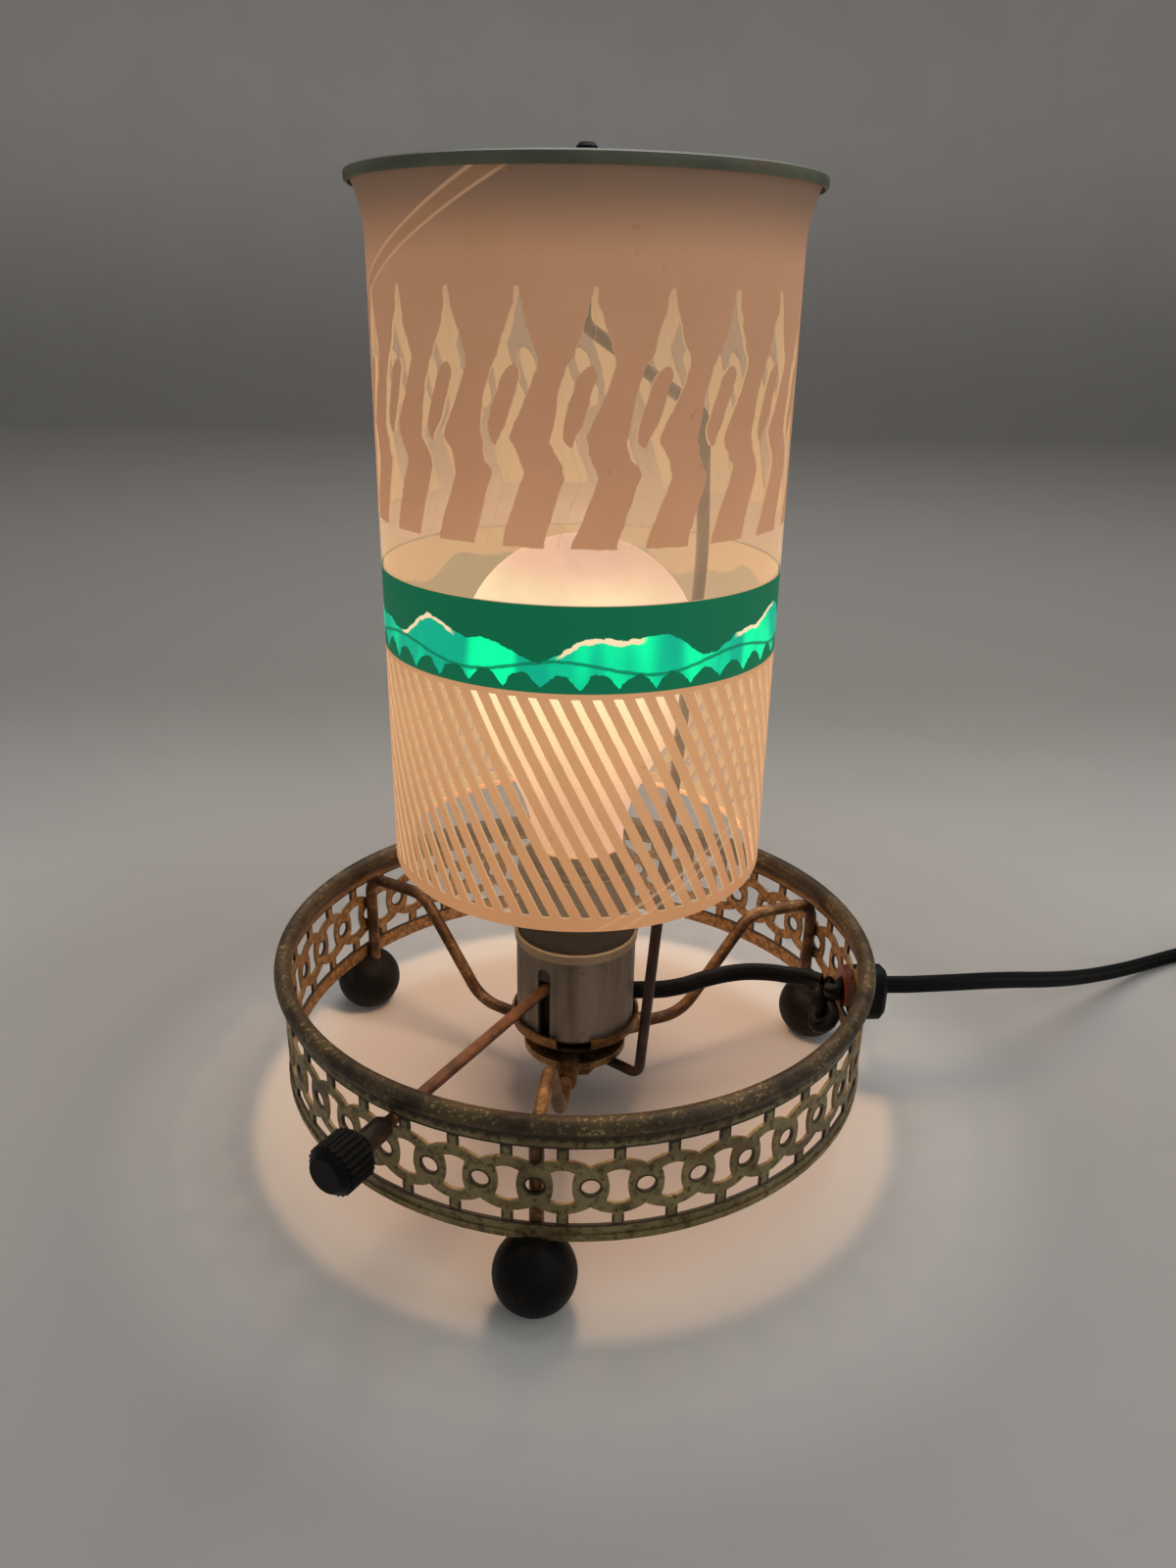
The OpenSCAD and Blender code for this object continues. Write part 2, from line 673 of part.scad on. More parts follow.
module drum_sleeve() {
    steps = 8;
    line = concat(
        [[drum_r - turn_in_r, drum_bottom]],
        [for (a = [-60 : 30 : 0]) [drum_r - turn_in_r * (1 - cos(a)), drum_bottom + turn_in_r * (1 + sin(a))]],
        [for (i = [0 : steps]) [drum_r + flare_out * pow(i / steps, 2), sleeve_top + flare_h * i / steps]]);
    color("#d9a886") rotate_extrude($fn = 128) polygon(concat(
        line, [for (i = [len(line) - 1 : -1 : 0]) line[i] + [-drum_t, i < 4 ? drum_t * 0.9 : 0]]));
}

// Moulded rim that grips the flared edge
module drum_rim() {
    flare_r = drum_r + flare_out;
    lip_h = rim_h - 1;
    lean = flare_out * (1 - pow(1 - lip_h / flare_h, 2));
    color("#7f8a72") rotate_extrude($fn = 128) polygon([
        [flare_r - drum_t - rim_w - lean, drum_top - lip_h], [flare_r - drum_t - rim_w, drum_top + 0.5],
        [flare_r - drum_t, drum_top + 1], [flare_r + rim_w - 0.5, drum_top + 1],
        [flare_r + rim_w, drum_top + 0.4], [flare_r + rim_w, drum_top - lip_h + 0.4],
        [flare_r + rim_w - 0.5, drum_top - lip_h], [flare_r + 0.15, drum_top - lip_h],
        [flare_r + 0.15, drum_top + slip], [flare_r - drum_t - 0.2, drum_top + slip],
        [flare_r - drum_t - 0.2 - lean, drum_top - lip_h]]);
}

// Stamped turbine: a ring and a disc joined by vanes turned out of the sheet
module turbine_fan() {
    fan_r = drum_r + flare_out * pow((fan_z - sleeve_top) / flare_h, 2) - drum_t - 0.1;
    ring_in = fan_r - fan_ring_w;
    vane_l = ring_in - fan_hub_r + 3;
    color("#c9cbc4") difference() {
        union() {
            ring(fan_r, ring_in, fan_z, fan_z + fan_t);
            translate([0, 0, fan_z]) cylinder(r = fan_hub_r, h = fan_t);
            for (k = [0 : vanes - 1]) {
                rotate([0, 0, k * 360 / vanes]) translate([fan_hub_r - 1.5, 0, fan_z + fan_t / 2])
                    rotate([vane_pitch, 0, 0]) translate([0, 0, -fan_t / 2]) linear_extrude(fan_t)
                        polygon([[0, -1.4], [vane_l, -5.2], [vane_l, 5.2], [0, 1.4]]);
            }
        }
        translate([0, 0, fan_z - 5]) cylinder(r = cup_r + slip, h = 10);
    }
}

module bearing_cup() {
    color("#b08a48") difference() {
        union() {
            translate([0, 0, cup_bottom]) cylinder(r = cup_r, h = cup_h);
            translate([0, 0, cup_bottom]) cylinder(r = cup_r + 1.6, h = 1.3);
        }
        translate([0, 0, cup_bottom - 1]) cylinder(r = cup_bore_r, h = cup_h - cup_roof + 1);
    }
}

module bearing_cap() {
    color("#1b1a19") translate([0, 0, cup_bottom + cup_h + slip]) {
        cylinder(r = cap_r, h = cap_h - 0.8);
        translate([0, 0, cap_h - 0.8 - eps]) cylinder(r1 = cap_r, r2 = cap_r - 0.8, h = 0.8);
    }
}

// Tube swept along points: the wide side of its oval section leans towards the directions in ref
function tangents(p) = [for (i = [0 : len(p) - 1])
    unit(p[min(i + 1, len(p) - 1)] - p[max(i - 1, 0)])];
function sweep_points(p, ref, half_t, half_w, sides) = let (t = tangents(p))
    [for (i = [0 : len(p) - 1])
        let (up = unit(ref[i] - (ref[i] * t[i]) * t[i]), side = cross(t[i], up))
        for (k = [0 : sides - 1])
            p[i] + half_t[i] * cos(360 * (k + 0.5) / sides) * side
                 + half_w[i] * sin(360 * (k + 0.5) / sides) * up];
function sweep_faces(rings, sides) = concat(
    [for (i = [0 : rings - 2]) for (k = [0 : sides - 1]) let (a = i * sides + k,
        b = i * sides + (k + 1) % sides) each [[a, b, b + sides], [a, b + sides, a + sides]]],
    [for (k = [1 : sides - 2]) [0, k + 1, k]],
    [for (k = [1 : sides - 2]) let (o = (rings - 1) * sides) [o, o + k, o + k + 1]]);
module tube(p, sides) {
    polyhedron(points = sweep_points(p, [for (q = p) [0, 0, 1]], [for (q = p) cord_half_t],
        [for (q = p) cord_half_w], sides), faces = sweep_faces(len(p), sides));
}

// Overhand knot tied in the lead: a trefoil about the X direction, cut open at its highest lobe
knot_scale = 2.3;
knot_r = 2;
knot_angles = [for (a = [192 : 12 : 528]) a];
knot_line = [for (a = knot_angles) knot_at + knot_scale *
    [-sin(3 * a), sin(a) + 2 * sin(2 * a), 2 * cos(2 * a) - cos(a)]];
knot_ref = [for (q = knot_line) [0, knot_at[1] - q[1], knot_at[2] - q[2]]];

module cord_lead() {
    line = concat(lead_in, knot_line, lead_out);
    flat_in = [for (q = lead_in) 1];
    flat_out = [for (q = lead_out) 1];
    round_mid = [for (q = knot_line) 0];
    flat = concat(flat_in, round_mid, flat_out);
    ref = concat([for (q = lead_in) [0, 0, 1]], knot_ref, [for (q = lead_out) [0, 0, 1]]);
    color("#1a1918") polyhedron(points = sweep_points(line, ref,
        [for (f = flat) f * cord_half_t + (1 - f) * knot_r],
        [for (f = flat) f * cord_half_w + (1 - f) * knot_r], 8), faces = sweep_faces(len(line), 8));
}

module grommet_bush() {
    color("#7a3426") at(grommet_az) translate([0, 0, chain_z]) rotate([0, 90, 0]) difference() {
        union() {
            translate([0, 0, band_in - 2.4]) cylinder(r = grommet_r + 2.2, h = 2);
            translate([0, 0, band_in - 1]) cylinder(r = grommet_r - slip, h = band_t + 1);
        }
        translate([0, 0, band_in - 4]) cylinder(r = cord_half_w + slip, h = 10);
    }
}

// Moulded head of the strain relief: a long oval block with a bevelled face
module grommet_flange() {
    edge = 1.4;
    color("#161514") at(grommet_az) translate([band_r + slip, 0, chain_z]) rotate([90, 0, 90]) difference() {
        translate([0, -flange_drop, 0]) hull() for (k = [-1, 1]) {
            translate([0, k * (flange_h - flange_w) / 2, 0]) {
                cylinder(r = flange_w / 2, h = flange_t - edge, $fn = 32);
                cylinder(r = flange_w / 2 - edge, h = flange_t, $fn = 32);
            }
        }
        translate([0, 0, -1]) cylinder(r = cord_half_w + slip, h = flange_t + 2);
    }
}

module cord_run() {
    color("#1a1918") tube(concat(run_route, [[coil_in[0], coil_in[1], coil_z]]), 8);
}

// Coil: spirals in on the table, climbs in half a turn and spirals out again on top
ring_step = 15;
in_rings = layer_turns * 24;
climb_rings = 12;
out_rings = in_rings - 6;
inner_r = coil_out_r - turn_step * (in_rings + climb_rings) / 24;
function smooth(t) = t * t * (3 - 2 * t);
function coil_radius(i) = i <= in_rings + climb_rings ? coil_out_r - turn_step * i / 24 :
    let (j = i - in_rings - climb_rings)
    inner_r + turn_step * (j <= 12 ? j / 12 : 1 + (j - 12) / 24);
function coil_height(i) = coil_z +
    layer_step * smooth(min(1, max(0, (i - in_rings - 3) / (climb_rings - 3))));
function coil_point(i) = let (az = coil_in_az - i * ring_step)
    [coil_centre[0] + coil_radius(i) * sin(az), coil_centre[1] - coil_radius(i) * cos(az), coil_height(i)];
coil_line = [for (i = [0 : in_rings + climb_rings + out_rings]) coil_point(i)];
coil_end = coil_line[len(coil_line) - 1];
coil_end_t = unit(coil_end - coil_line[len(coil_line) - 2]);

// Least gap between the coil's turns: points half a turn or more apart, less the cord between them
function oval_reach(d) = let (flat = norm([d[0], d[1]]), n = norm(d))
    n / sqrt(pow(flat / cord_half_t, 2) + pow(d[2] / cord_half_w, 2));
least_gap = min([for (i = [0 : len(coil_line) - 1]) for (j = [i + 12 : len(coil_line) - 1])
    let (d = coil_line[j] - coil_line[i]) norm(d) - 2 * oval_reach(d)]);
function line_length(p) = len(p) < 2 ? 0 : [for (i = [1 : len(p) - 1]) norm(p[i] - p[i - 1])] *
    [for (i = [1 : len(p) - 1]) 1];
echo(least_gap = least_gap);

module cord_coil() {
    color("#1a1918") tube(coil_line, 6);
}

// Tape round the bundle of turns
tie_az = 20;
tie_w = 9;
tie_t = 0.5;
module coil_tie() {
    bundle_in = inner_r - cord_half_t - 0.6;
    bundle_out = coil_out_r + cord_half_t + 0.6;
    bundle_top = coil_z + layer_step + cord_half_w + 0.4;
    color("#101010") translate([coil_centre[0], coil_centre[1], 0]) at(tie_az) difference() {
        translate([bundle_in - tie_t, -tie_w / 2, 0])
            cube([bundle_out - bundle_in + 2 * tie_t, tie_w, bundle_top + tie_t]);
        translate([bundle_in, -tie_w / 2 - 1, tie_t])
            cube([bundle_out - bundle_in, tie_w + 2, bundle_top - tie_t]);
    }
}

// Tail from the top of the coil down to the plug that lies beside it
plug_at = [316, 22, 7];
plug_az = 60;
plug_dir = [sin(plug_az), -cos(plug_az), 0];
tail_route = [coil_end, coil_end + 3 * coil_end_t, coil_end + 8 * coil_end_t,
              plug_at - 12 * plug_dir, plug_at - 6 * plug_dir, plug_at];

echo(cord_mm = [line_length(run_route), line_length(coil_line), line_length(tail_route)]);

module cord_tail() {
    color("#1a1918") tube(tail_route, 8);
}

module plug_body() {
    color("#1a1918") translate(plug_at) at(plug_az) difference() {
        union() {
            hull() {
                translate([eps, 0, 0]) rotate([0, 90, 0]) cylinder(r = 4, h = 1, $fn = 32);
                translate([plug_l * 0.45, 0, 0]) cube([1, plug_w, plug_t - 0.1], center = true);
            }
            translate([plug_l * 0.72, 0, 0]) cube([plug_l * 0.56, plug_w, plug_t - 0.1], center = true);
        }
        for (k = [-1, 1]) {
            translate([plug_l - 6, k * blade_gap / 2 - 0.8, -3.25]) cube([20, 1.6, 6.5]);
        }
    }
}

module plug_blades() {
    color("#c9b27a") translate(plug_at) at(plug_az) for (k = [-1, 1]) {
        translate([plug_l - 5.9, k * blade_gap / 2 - 0.75, -3.2]) difference() {
            cube([blade_l + 5.9, 1.5, 6.4]);
            translate([blade_l + 5.9 - 4, -1, 3.2]) rotate([-90, 0, 0]) cylinder(r = 1.6, h = 4);
        }
    }
}

gallery_band();
leg(leg_azimuths[0]);  // leg_front
leg(leg_azimuths[1]);  // leg_left
leg(leg_azimuths[2]);  // leg_right
foot(leg_azimuths[0]);  // foot_front
foot(leg_azimuths[1]);  // foot_left
foot(leg_azimuths[2]);  // foot_right
hub_upper();
hub_lower();
hub_nipple();
hub_washer();
hub_nut();
socket_cap();
socket_shell();
socket_liner();
switch_body();
terminal_screws();
screw_shell();
centre_contact();
switch_cam();
switch_rod();
rod_coupling();
switch_knob();
pivot_wire();
bulb_glass();
bulb_base();
bulb_contact();
drum_sleeve();
drum_rim();
turbine_fan();
bearing_cup();
bearing_cap();
cord_lead();
grommet_bush();
grommet_flange();
cord_run();
cord_coil();
coil_tie();
cord_tail();
plug_body();
plug_blades();
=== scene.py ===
import math

import bmesh
import bpy
from mathutils import Matrix, Vector


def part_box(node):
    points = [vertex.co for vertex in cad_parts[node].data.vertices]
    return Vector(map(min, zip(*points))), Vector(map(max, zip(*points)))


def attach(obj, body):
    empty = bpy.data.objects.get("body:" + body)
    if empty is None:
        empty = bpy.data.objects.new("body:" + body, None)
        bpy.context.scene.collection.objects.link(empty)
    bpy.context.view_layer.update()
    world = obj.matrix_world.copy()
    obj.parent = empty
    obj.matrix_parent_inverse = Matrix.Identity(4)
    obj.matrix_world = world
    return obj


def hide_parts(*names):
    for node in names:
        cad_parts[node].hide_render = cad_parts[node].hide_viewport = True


bl_info = {
    "name": "Rotating Motion Lamp",
    "version": (1, 0, 0),
    "blender": (4, 5, 0),
    "location": "View3D > Sidebar > Motion Lamp",
    "description": "Dresses the motion lamp's frame: printed drum, lit bulb, pierced ring and cord",
    "category": "Object",
}

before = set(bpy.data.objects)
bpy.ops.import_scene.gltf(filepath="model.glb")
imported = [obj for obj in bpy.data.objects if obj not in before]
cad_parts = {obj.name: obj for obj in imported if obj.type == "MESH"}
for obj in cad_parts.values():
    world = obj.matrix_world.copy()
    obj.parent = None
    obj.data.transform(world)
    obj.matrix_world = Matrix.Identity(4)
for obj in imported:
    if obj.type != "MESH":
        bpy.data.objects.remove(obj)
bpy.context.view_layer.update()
MM = 0.001

# Drum, in millimetres, as in the part's source
DRUM_R = 49.6
DRUM_WALL = 0.5
DRUM_BOTTOM = 82.3
SLEEVE_TOP = DRUM_BOTTOM + 151.4
DRUM_TOP = SLEEVE_TOP + 12.6
FLARE = 2.9

# Print on the drum: how often it repeats, and the heights of its zones in millimetres
STRIPES = 65
ZIGZAGS = 20
STRIPES_LOW, STRIPES_HIGH = 86.45, 141.05
BAND_LOW, BAND_HIGH = 142.3, 161.9
BARS_LOW, ZIGZAG_HIGH = 174.0, 224.25

# Gallery ring's chain, in millimetres and degrees, as in the part's source
LINKS = 40
LINK_WIDTH = 12.96
POST_WIDTH = 2.8
HOLE_R = 2.2
FIRST_HOLE_DEG = 2.9
CHAIN_HEIGHT = 34.9
SILL_OFFSET = 11.0
POST_FOOT = 8.2

# Ball feet, in metres
BALL_R = 0.0102
BALL_HEIGHT = 0.01005
BALL_FLAT = 0.00002

# Camera, fitted to the ring's edges in the photograph
CAMERA_PLACE = (0, -0.2897, 0.2215)
CAMERA_PITCH, CAMERA_PAN, CAMERA_ROLL = 0.3957, -0.0092, 0.0173
CAMERA_LENS, CAMERA_SENSOR = 26.47, 36

# Area lights: name, place, what it points at, size, power
LIGHTS = (
    ("key", (0.12, 0.42, 1.15), (0, 0.05, 0), 0.9, 7.0),
    ("fill", (1.0, -0.5, 0.8), (0, 0, 0.05), 1.0, 2.4),
)
ROOM_LIGHT = 0.26
BULB_LIGHT_PLACE = (0, 0, 0.137)

# Free cord: the same points as in the part's source, in metres
CORD_EXIT = (0.09193, 0.00466, 0.0349)
RUN_POINTS = (
    CORD_EXIT, (0.0955, 0.00495, 0.03485), (0.1, 0.0055, 0.0346), (0.109, 0.0076, 0.0338),
    (0.118, 0.011, 0.0322), (0.128, 0.0164, 0.0294), (0.139, 0.0234, 0.0254),
    (0.15, 0.031, 0.0208), (0.161, 0.039, 0.0162), (0.172, 0.0472, 0.0119), (0.183, 0.0552, 0.0083),
    (0.195, 0.0632, 0.0054), (0.208, 0.071, 0.0036), (0.222, 0.078, 0.0029), (0.236, 0.083, 0.0029),
    (0.25, 0.0863, 0.0031), (0.262, 0.0875, 0.0034),
)
COIL_CENTRE = (0.263, 0.05)
COIL_START_DEG = 160
COIL_OUTER_R = 0.0372
COIL_STEP = 0.0036
COIL_LAYER = 0.0061
COIL_Z = 0.00345
COIL_TURNS = 4
COIL_CLIMB_RINGS = 12
RINGS_A_TURN = 24
PLUG_AT = (0.316, 0.022, 0.007)
PLUG_DEG = 60

# Lead inside the ring, with its knot, in millimetres
KNOT_AT = (74.2, 4.6, 28)
KNOT_SCALE = 2.3
KNOT_R = 2.0
LEAD_IN = (
    (15.4, 0.6, 34.6), (17.5, 0.7, 34.6), (21, 0.9, 34.6), (26, 1.6, 34.4), (32.2, 3.4, 34.6),
    (38.2, 5.9, 35.2), (45.2, 8.4, 35.6), (52.2, 9.9, 35.6), (59.2, 10.2, 35.2), (65.2, 9.4, 34.8),
    (70.2, 8.4, 34.6),
)
LEAD_OUT = (
    (76.8, 0.7, 34.6), (77.7, 1.6, 34.8), (79, 4, 34.9), (81.6, 4.13, 34.9), (91.88, 4.65, 34.9),
)
KNOT_BLEND = 3


def tone(red, green, blue):
    """A colour as the eye sees it, 0 to 255, made linear."""
    def straight(c):
        c /= 255
        return c / 12.92 if c <= 0.04045 else ((c + 0.055) / 1.055) ** 2.4
    return (straight(red), straight(green), straight(blue), 1.0)


class Value:
    """A shader value. Reckoning with it adds Math nodes to its paint."""

    def __init__(self, paint, socket):
        self.paint = paint
        self.socket = socket

    def __add__(self, other):
        return self.paint.math("ADD", self, other)

    __radd__ = __add__

    def __sub__(self, other):
        return self.paint.math("SUBTRACT", self, other)

    def __rsub__(self, other):
        return self.paint.math("SUBTRACT", other, self)

    def __mul__(self, other):
        return self.paint.math("MULTIPLY", self, other)

    __rmul__ = __mul__

    def __truediv__(self, other):
        return self.paint.math("DIVIDE", self, other)

    def __neg__(self):
        return self.paint.math("MULTIPLY", self, -1.0)

    def __abs__(self):
        return self.paint.math("ABSOLUTE", self)


class Paint:
    """A material under construction on a piece's own coordinates."""

    def __init__(self, name):
        self.material = bpy.data.materials.new(name)
        self.material.use_nodes = True
        self.tree = self.material.node_tree
        self.tree.nodes.clear()
        self.coordinates = self.value(self.node("TexCoord"), "Object")
        split = self.node("SeparateXYZ", inputs={0: self.coordinates})
        self.x, self.y, self.z = (self.value(split, axis) * 1000 for axis in "XYZ")

    def node(self, kind, settings=None, inputs=None):
        made = self.tree.nodes.new("ShaderNode" + kind)
        for key, setting in (settings or {}).items():
            if key == "stops":
                ramp = made.color_ramp
                while len(ramp.elements) < len(setting):
                    ramp.elements.new(1.0)
                for element, (place, colour) in zip(ramp.elements, setting):
                    element.position = place
                    element.color = colour
            else:
                setattr(made, key, setting)
        for key, given in (inputs or {}).items():
            if isinstance(given, Value):
                self.tree.links.new(given.socket, made.inputs[key])
            else:
                made.inputs[key].default_value = given
        return made

    def value(self, node, output=0):
        return Value(self, node.outputs[output])

    def math(self, operation, *terms):
        return self.value(self.node("Math", {"operation": operation}, dict(enumerate(terms))))

    def noise(self, scale, detail=3.0, stretch=(1, 1, 1), rough=0.55):
        """Noise between 0 and 1; scale is in lumps a metre."""
        place = self.value(self.node("Mapping", inputs={"Vector": self.coordinates, "Scale": stretch}))
        return self.value(self.node("TexNoise", inputs={
            "Vector": place, "Scale": scale, "Detail": detail, "Roughness": rough}))

    def rise(self, value, low, high):
        """0 below low, 1 above high, smooth between."""
        return self.value(self.node("MapRange", {"interpolation_type": "SMOOTHSTEP"},
                                    {"Value": value, "From Min": low, "From Max": high}))

    def fall(self, value, low, high):
        return 1 - self.rise(value, low, high)

    def past(self, value, edge, blur):
        """0 to 1 where the value passes an edge."""
        return self.rise(value, edge - blur, edge + blur)

    def until(self, value, edge, blur):
        """1 to 0 where the value passes an edge."""
        return self.fall(value, edge - blur, edge + blur)

    def straight(self, value, low, high, first=0.0, last=1.0):
        """First below low, last above high, in a straight line between."""
        return self.value(self.node("MapRange", inputs={
            "Value": value, "From Min": low, "From Max": high, "To Min": first, "To Max": last}))

    def either(self, a, b):
        return self.math("MAXIMUM", a, b)

    def both(self, a, b):
        return self.math("MINIMUM", a, b)

    def mix(self, share, a, b):
        """A at share 0, b at share 1."""
        made = self.node("Mix", {"data_type": "RGBA"}, {0: share, 6: a, 7: b})
        return self.value(made, 2)

    def ramp(self, value, stops):
        return self.value(self.node("ValToRGB", {"stops": stops}, {0: value}))

    def bump(self, height, distance, strength=1.0):
        return self.value(self.node("Bump", inputs={
            "Height": height, "Distance": distance, "Strength": strength}))

    def finish(self, **sockets):
        named = {key.replace("_", " "): given for key, given in sockets.items()}
        shader = self.node("BsdfPrincipled", inputs=named)
        self.node("OutputMaterial", inputs={"Surface": self.value(shader)})
        return self.material


def dress(node, material):
    """Gives a CAD node a material."""
    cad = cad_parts[node]
    cad.data.materials.clear()
    cad.data.materials.append(material)


def take(name, material, body, slot, *nodes):
    """Finishes the active object as a piece of the lamp that stands for CAD nodes."""
    piece = bpy.context.object
    piece.name = name
    piece.data.name = name
    piece.data.materials.clear()
    piece.data.materials.append(material)
    bpy.ops.object.shade_smooth_by_angle(angle=math.radians(35))
    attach(piece, body)
    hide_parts(*nodes)
    return piece


def point_at(place):
    """A new mesh of one point, in edit mode, at a place in metres."""
    if bpy.context.object and bpy.context.object.mode != "OBJECT":
        bpy.ops.object.mode_set(mode="OBJECT")
    bpy.ops.object.select_all(action="DESELECT")
    bpy.ops.mesh.primitive_plane_add(size=0.01, location=(0, 0, 0))
    bpy.ops.object.mode_set(mode="EDIT")
    bpy.ops.mesh.select_all(action="SELECT")
    bpy.ops.mesh.merge(type="CENTER")
    bpy.ops.transform.translate(value=place)


def turned(outline, steps):
    """Turns a closed outline of (radius, height) points, in millimetres, about the upright axis."""
    points = [Vector((r * MM, 0, z * MM)) for r, z in outline]
    points.append(points[0])
    point_at(points[0])
    for before, after in zip(points, points[1:]):
        bpy.ops.mesh.extrude_region()
        bpy.ops.transform.translate(value=after - before)
    bpy.ops.mesh.select_all(action="SELECT")
    bpy.ops.mesh.spin(steps=steps, angle=2 * math.pi, center=(0, 0, 0), axis=(0, 0, 1))
    bpy.ops.mesh.select_all(action="SELECT")
    bpy.ops.mesh.remove_doubles(threshold=0.00001)
    bpy.ops.mesh.normals_make_consistent(inside=False)
    bpy.ops.object.mode_set(mode="OBJECT")


def smooth_line(points, parts):
    """A smooth line through the points, with each stretch cut into parts."""
    points = [Vector(p) for p in points]
    ends = [2 * points[0] - points[1]] + points + [2 * points[-1] - points[-2]]
    line = []
    for a, b, c, d in zip(ends, ends[1:], ends[2:], ends[3:]):
        for k in range(parts):
            t = k / parts
            line.append(0.5 * (2 * b + (c - a) * t + (2 * a - 5 * b + 4 * c - d) * t * t
                               + (3 * b - a - 3 * c + d) * t ** 3))
    return line + [points[-1]]


def swept(name, line, outline, ups=None, sizes=None):
    """Sweeps a closed outline of (side, up) offsets along a line of points, in metres."""
    work = bmesh.new()
    rings = []
    for i, place in enumerate(line):
        along = (line[min(i + 1, len(line) - 1)] - line[max(i - 1, 0)]).normalized()
        lean = Vector(ups[i]) if ups else Vector((0, 0, 1))
        up = (lean - lean.dot(along) * along).normalized()
        side = along.cross(up)
        shape = sizes[i] if sizes else outline
        rings.append([work.verts.new(place + side * a + up * b) for a, b in shape])
    for one, two in zip(rings, rings[1:]):
        for k in range(len(one)):
            j = (k + 1) % len(one)
            work.faces.new((one[k], two[k], two[j], one[j]))
    for ring in (rings[0], rings[-1]):
        work.faces.new(ring)
    bmesh.ops.recalc_face_normals(work, faces=work.faces)
    mesh = bpy.data.meshes.new(name)
    work.to_mesh(mesh)
    work.free()
    piece = bpy.data.objects.new(name, mesh)
    bpy.context.collection.objects.link(piece)
    bpy.ops.object.select_all(action="DESELECT")
    piece.select_set(True)
    bpy.context.view_layer.objects.active = piece
    return piece


def two_core(width, thickness, sides=20):
    """Outline of flat two-core cord: two round cores, one above the other, with a groove between."""
    core = thickness / 2
    offset = width / 2 - core
    outline = []
    for k in range(sides):
        angle = 2 * math.pi * (k + 0.5) / sides
        a, b = math.cos(angle), math.sin(angle)
        outline.append((core * a, b * core + math.copysign(offset, b)))
    web = core * 0.55
    cut = []
    for k, (a, b) in enumerate(outline):
        cut.append((a, b))
        following = outline[(k + 1) % sides]
        if b * following[1] < 0:
            cut.append((math.copysign(web, a), 0))
    return cut


def coil_line():
    """The coil's line: in on the table, up a layer, and out again on top."""
    inward = COIL_TURNS * RINGS_A_TURN
    climb = COIL_CLIMB_RINGS
    outward = inward - RINGS_A_TURN // 4
    inner = COIL_OUTER_R - COIL_STEP * (inward + climb) / RINGS_A_TURN
    line = []
    for i in range(inward + climb + outward + 1):
        past = i - inward - climb
        if past <= 0:
            radius = COIL_OUTER_R - COIL_STEP * i / RINGS_A_TURN
        else:
            steps_out = past / climb if past <= climb else 1 + (past - climb) / RINGS_A_TURN
            radius = inner + COIL_STEP * steps_out
        rise = min(1, max(0, (i - inward - 3) / (climb - 3)))
        angle = math.radians(COIL_START_DEG - i * 360 / RINGS_A_TURN)
        line.append(Vector((COIL_CENTRE[0] + radius * math.sin(angle),
                            COIL_CENTRE[1] - radius * math.cos(angle),
                            COIL_Z + COIL_LAYER * rise * rise * (3 - 2 * rise))))
    return line


# Finishes

def black_vinyl(name, dust=0.5):
    """Black plastic with a share of dust."""
    paint = Paint(name)
    smear = paint.noise(90, 4)
    colour = paint.mix(paint.rise(smear, 0.5, 0.8) * dust, tone(6, 6, 5), tone(30, 25, 20))
    return paint.finish(Base_Color=colour, Roughness=0.42 + smear * 0.2, Specular_IOR_Level=0.15,
                        Normal=paint.bump(paint.noise(1500, 2), 0.00005))


def worn_brass(name, dark, middle, pale, metal=0.85, lumps=70.0):
    """Aged metal in three tones, with lumps a metre and dark specks."""
    paint = Paint(name)
    broad = paint.noise(lumps, 5, rough=0.65)
    fine = paint.noise(lumps * 9, 4, rough=0.7)
    specks = paint.rise(paint.noise(lumps * 22, 2), 0.62, 0.7)
    colour = paint.mix(paint.rise(broad, 0.38, 0.55), dark, middle)
    colour = paint.mix(paint.rise(broad * 0.6 + fine * 0.4, 0.5, 0.62), colour, pale)
    colour = paint.mix(specks * 0.8, colour, tone(22, 17, 12))
    rough = 0.3 + fine * 0.25 + specks * 0.2
    return paint.finish(Base_Color=colour, Metallic=metal, Roughness=rough,
                        Normal=paint.bump(fine - specks * 0.6, 0.0001, 0.7))


# Properties

class LampSizes(bpy.types.PropertyGroup):
    drum_steps: bpy.props.IntProperty(
        name="Drum steps", description="Steps round the drum", default=160, min=48, max=256)
    cord_width: bpy.props.FloatProperty(
        name="Cord width", description="Width of the flat two-core cord", default=0.0055,
        min=0.004, max=0.008, unit="LENGTH")
    cord_thickness: bpy.props.FloatProperty(
        name="Cord thickness", description="Thickness of the flat two-core cord", default=0.0029,
        min=0.002, max=0.004, unit="LENGTH")
    bulb_glow: bpy.props.FloatProperty(
        name="Bulb glow", description="Light of the bulb on the table, in watts", default=0.9, min=0, max=5)
    drum_glow: bpy.props.FloatProperty(
        name="Drum glow", description="How strongly the print glows from the bulb behind it", default=1.0,
        min=0, max=3)


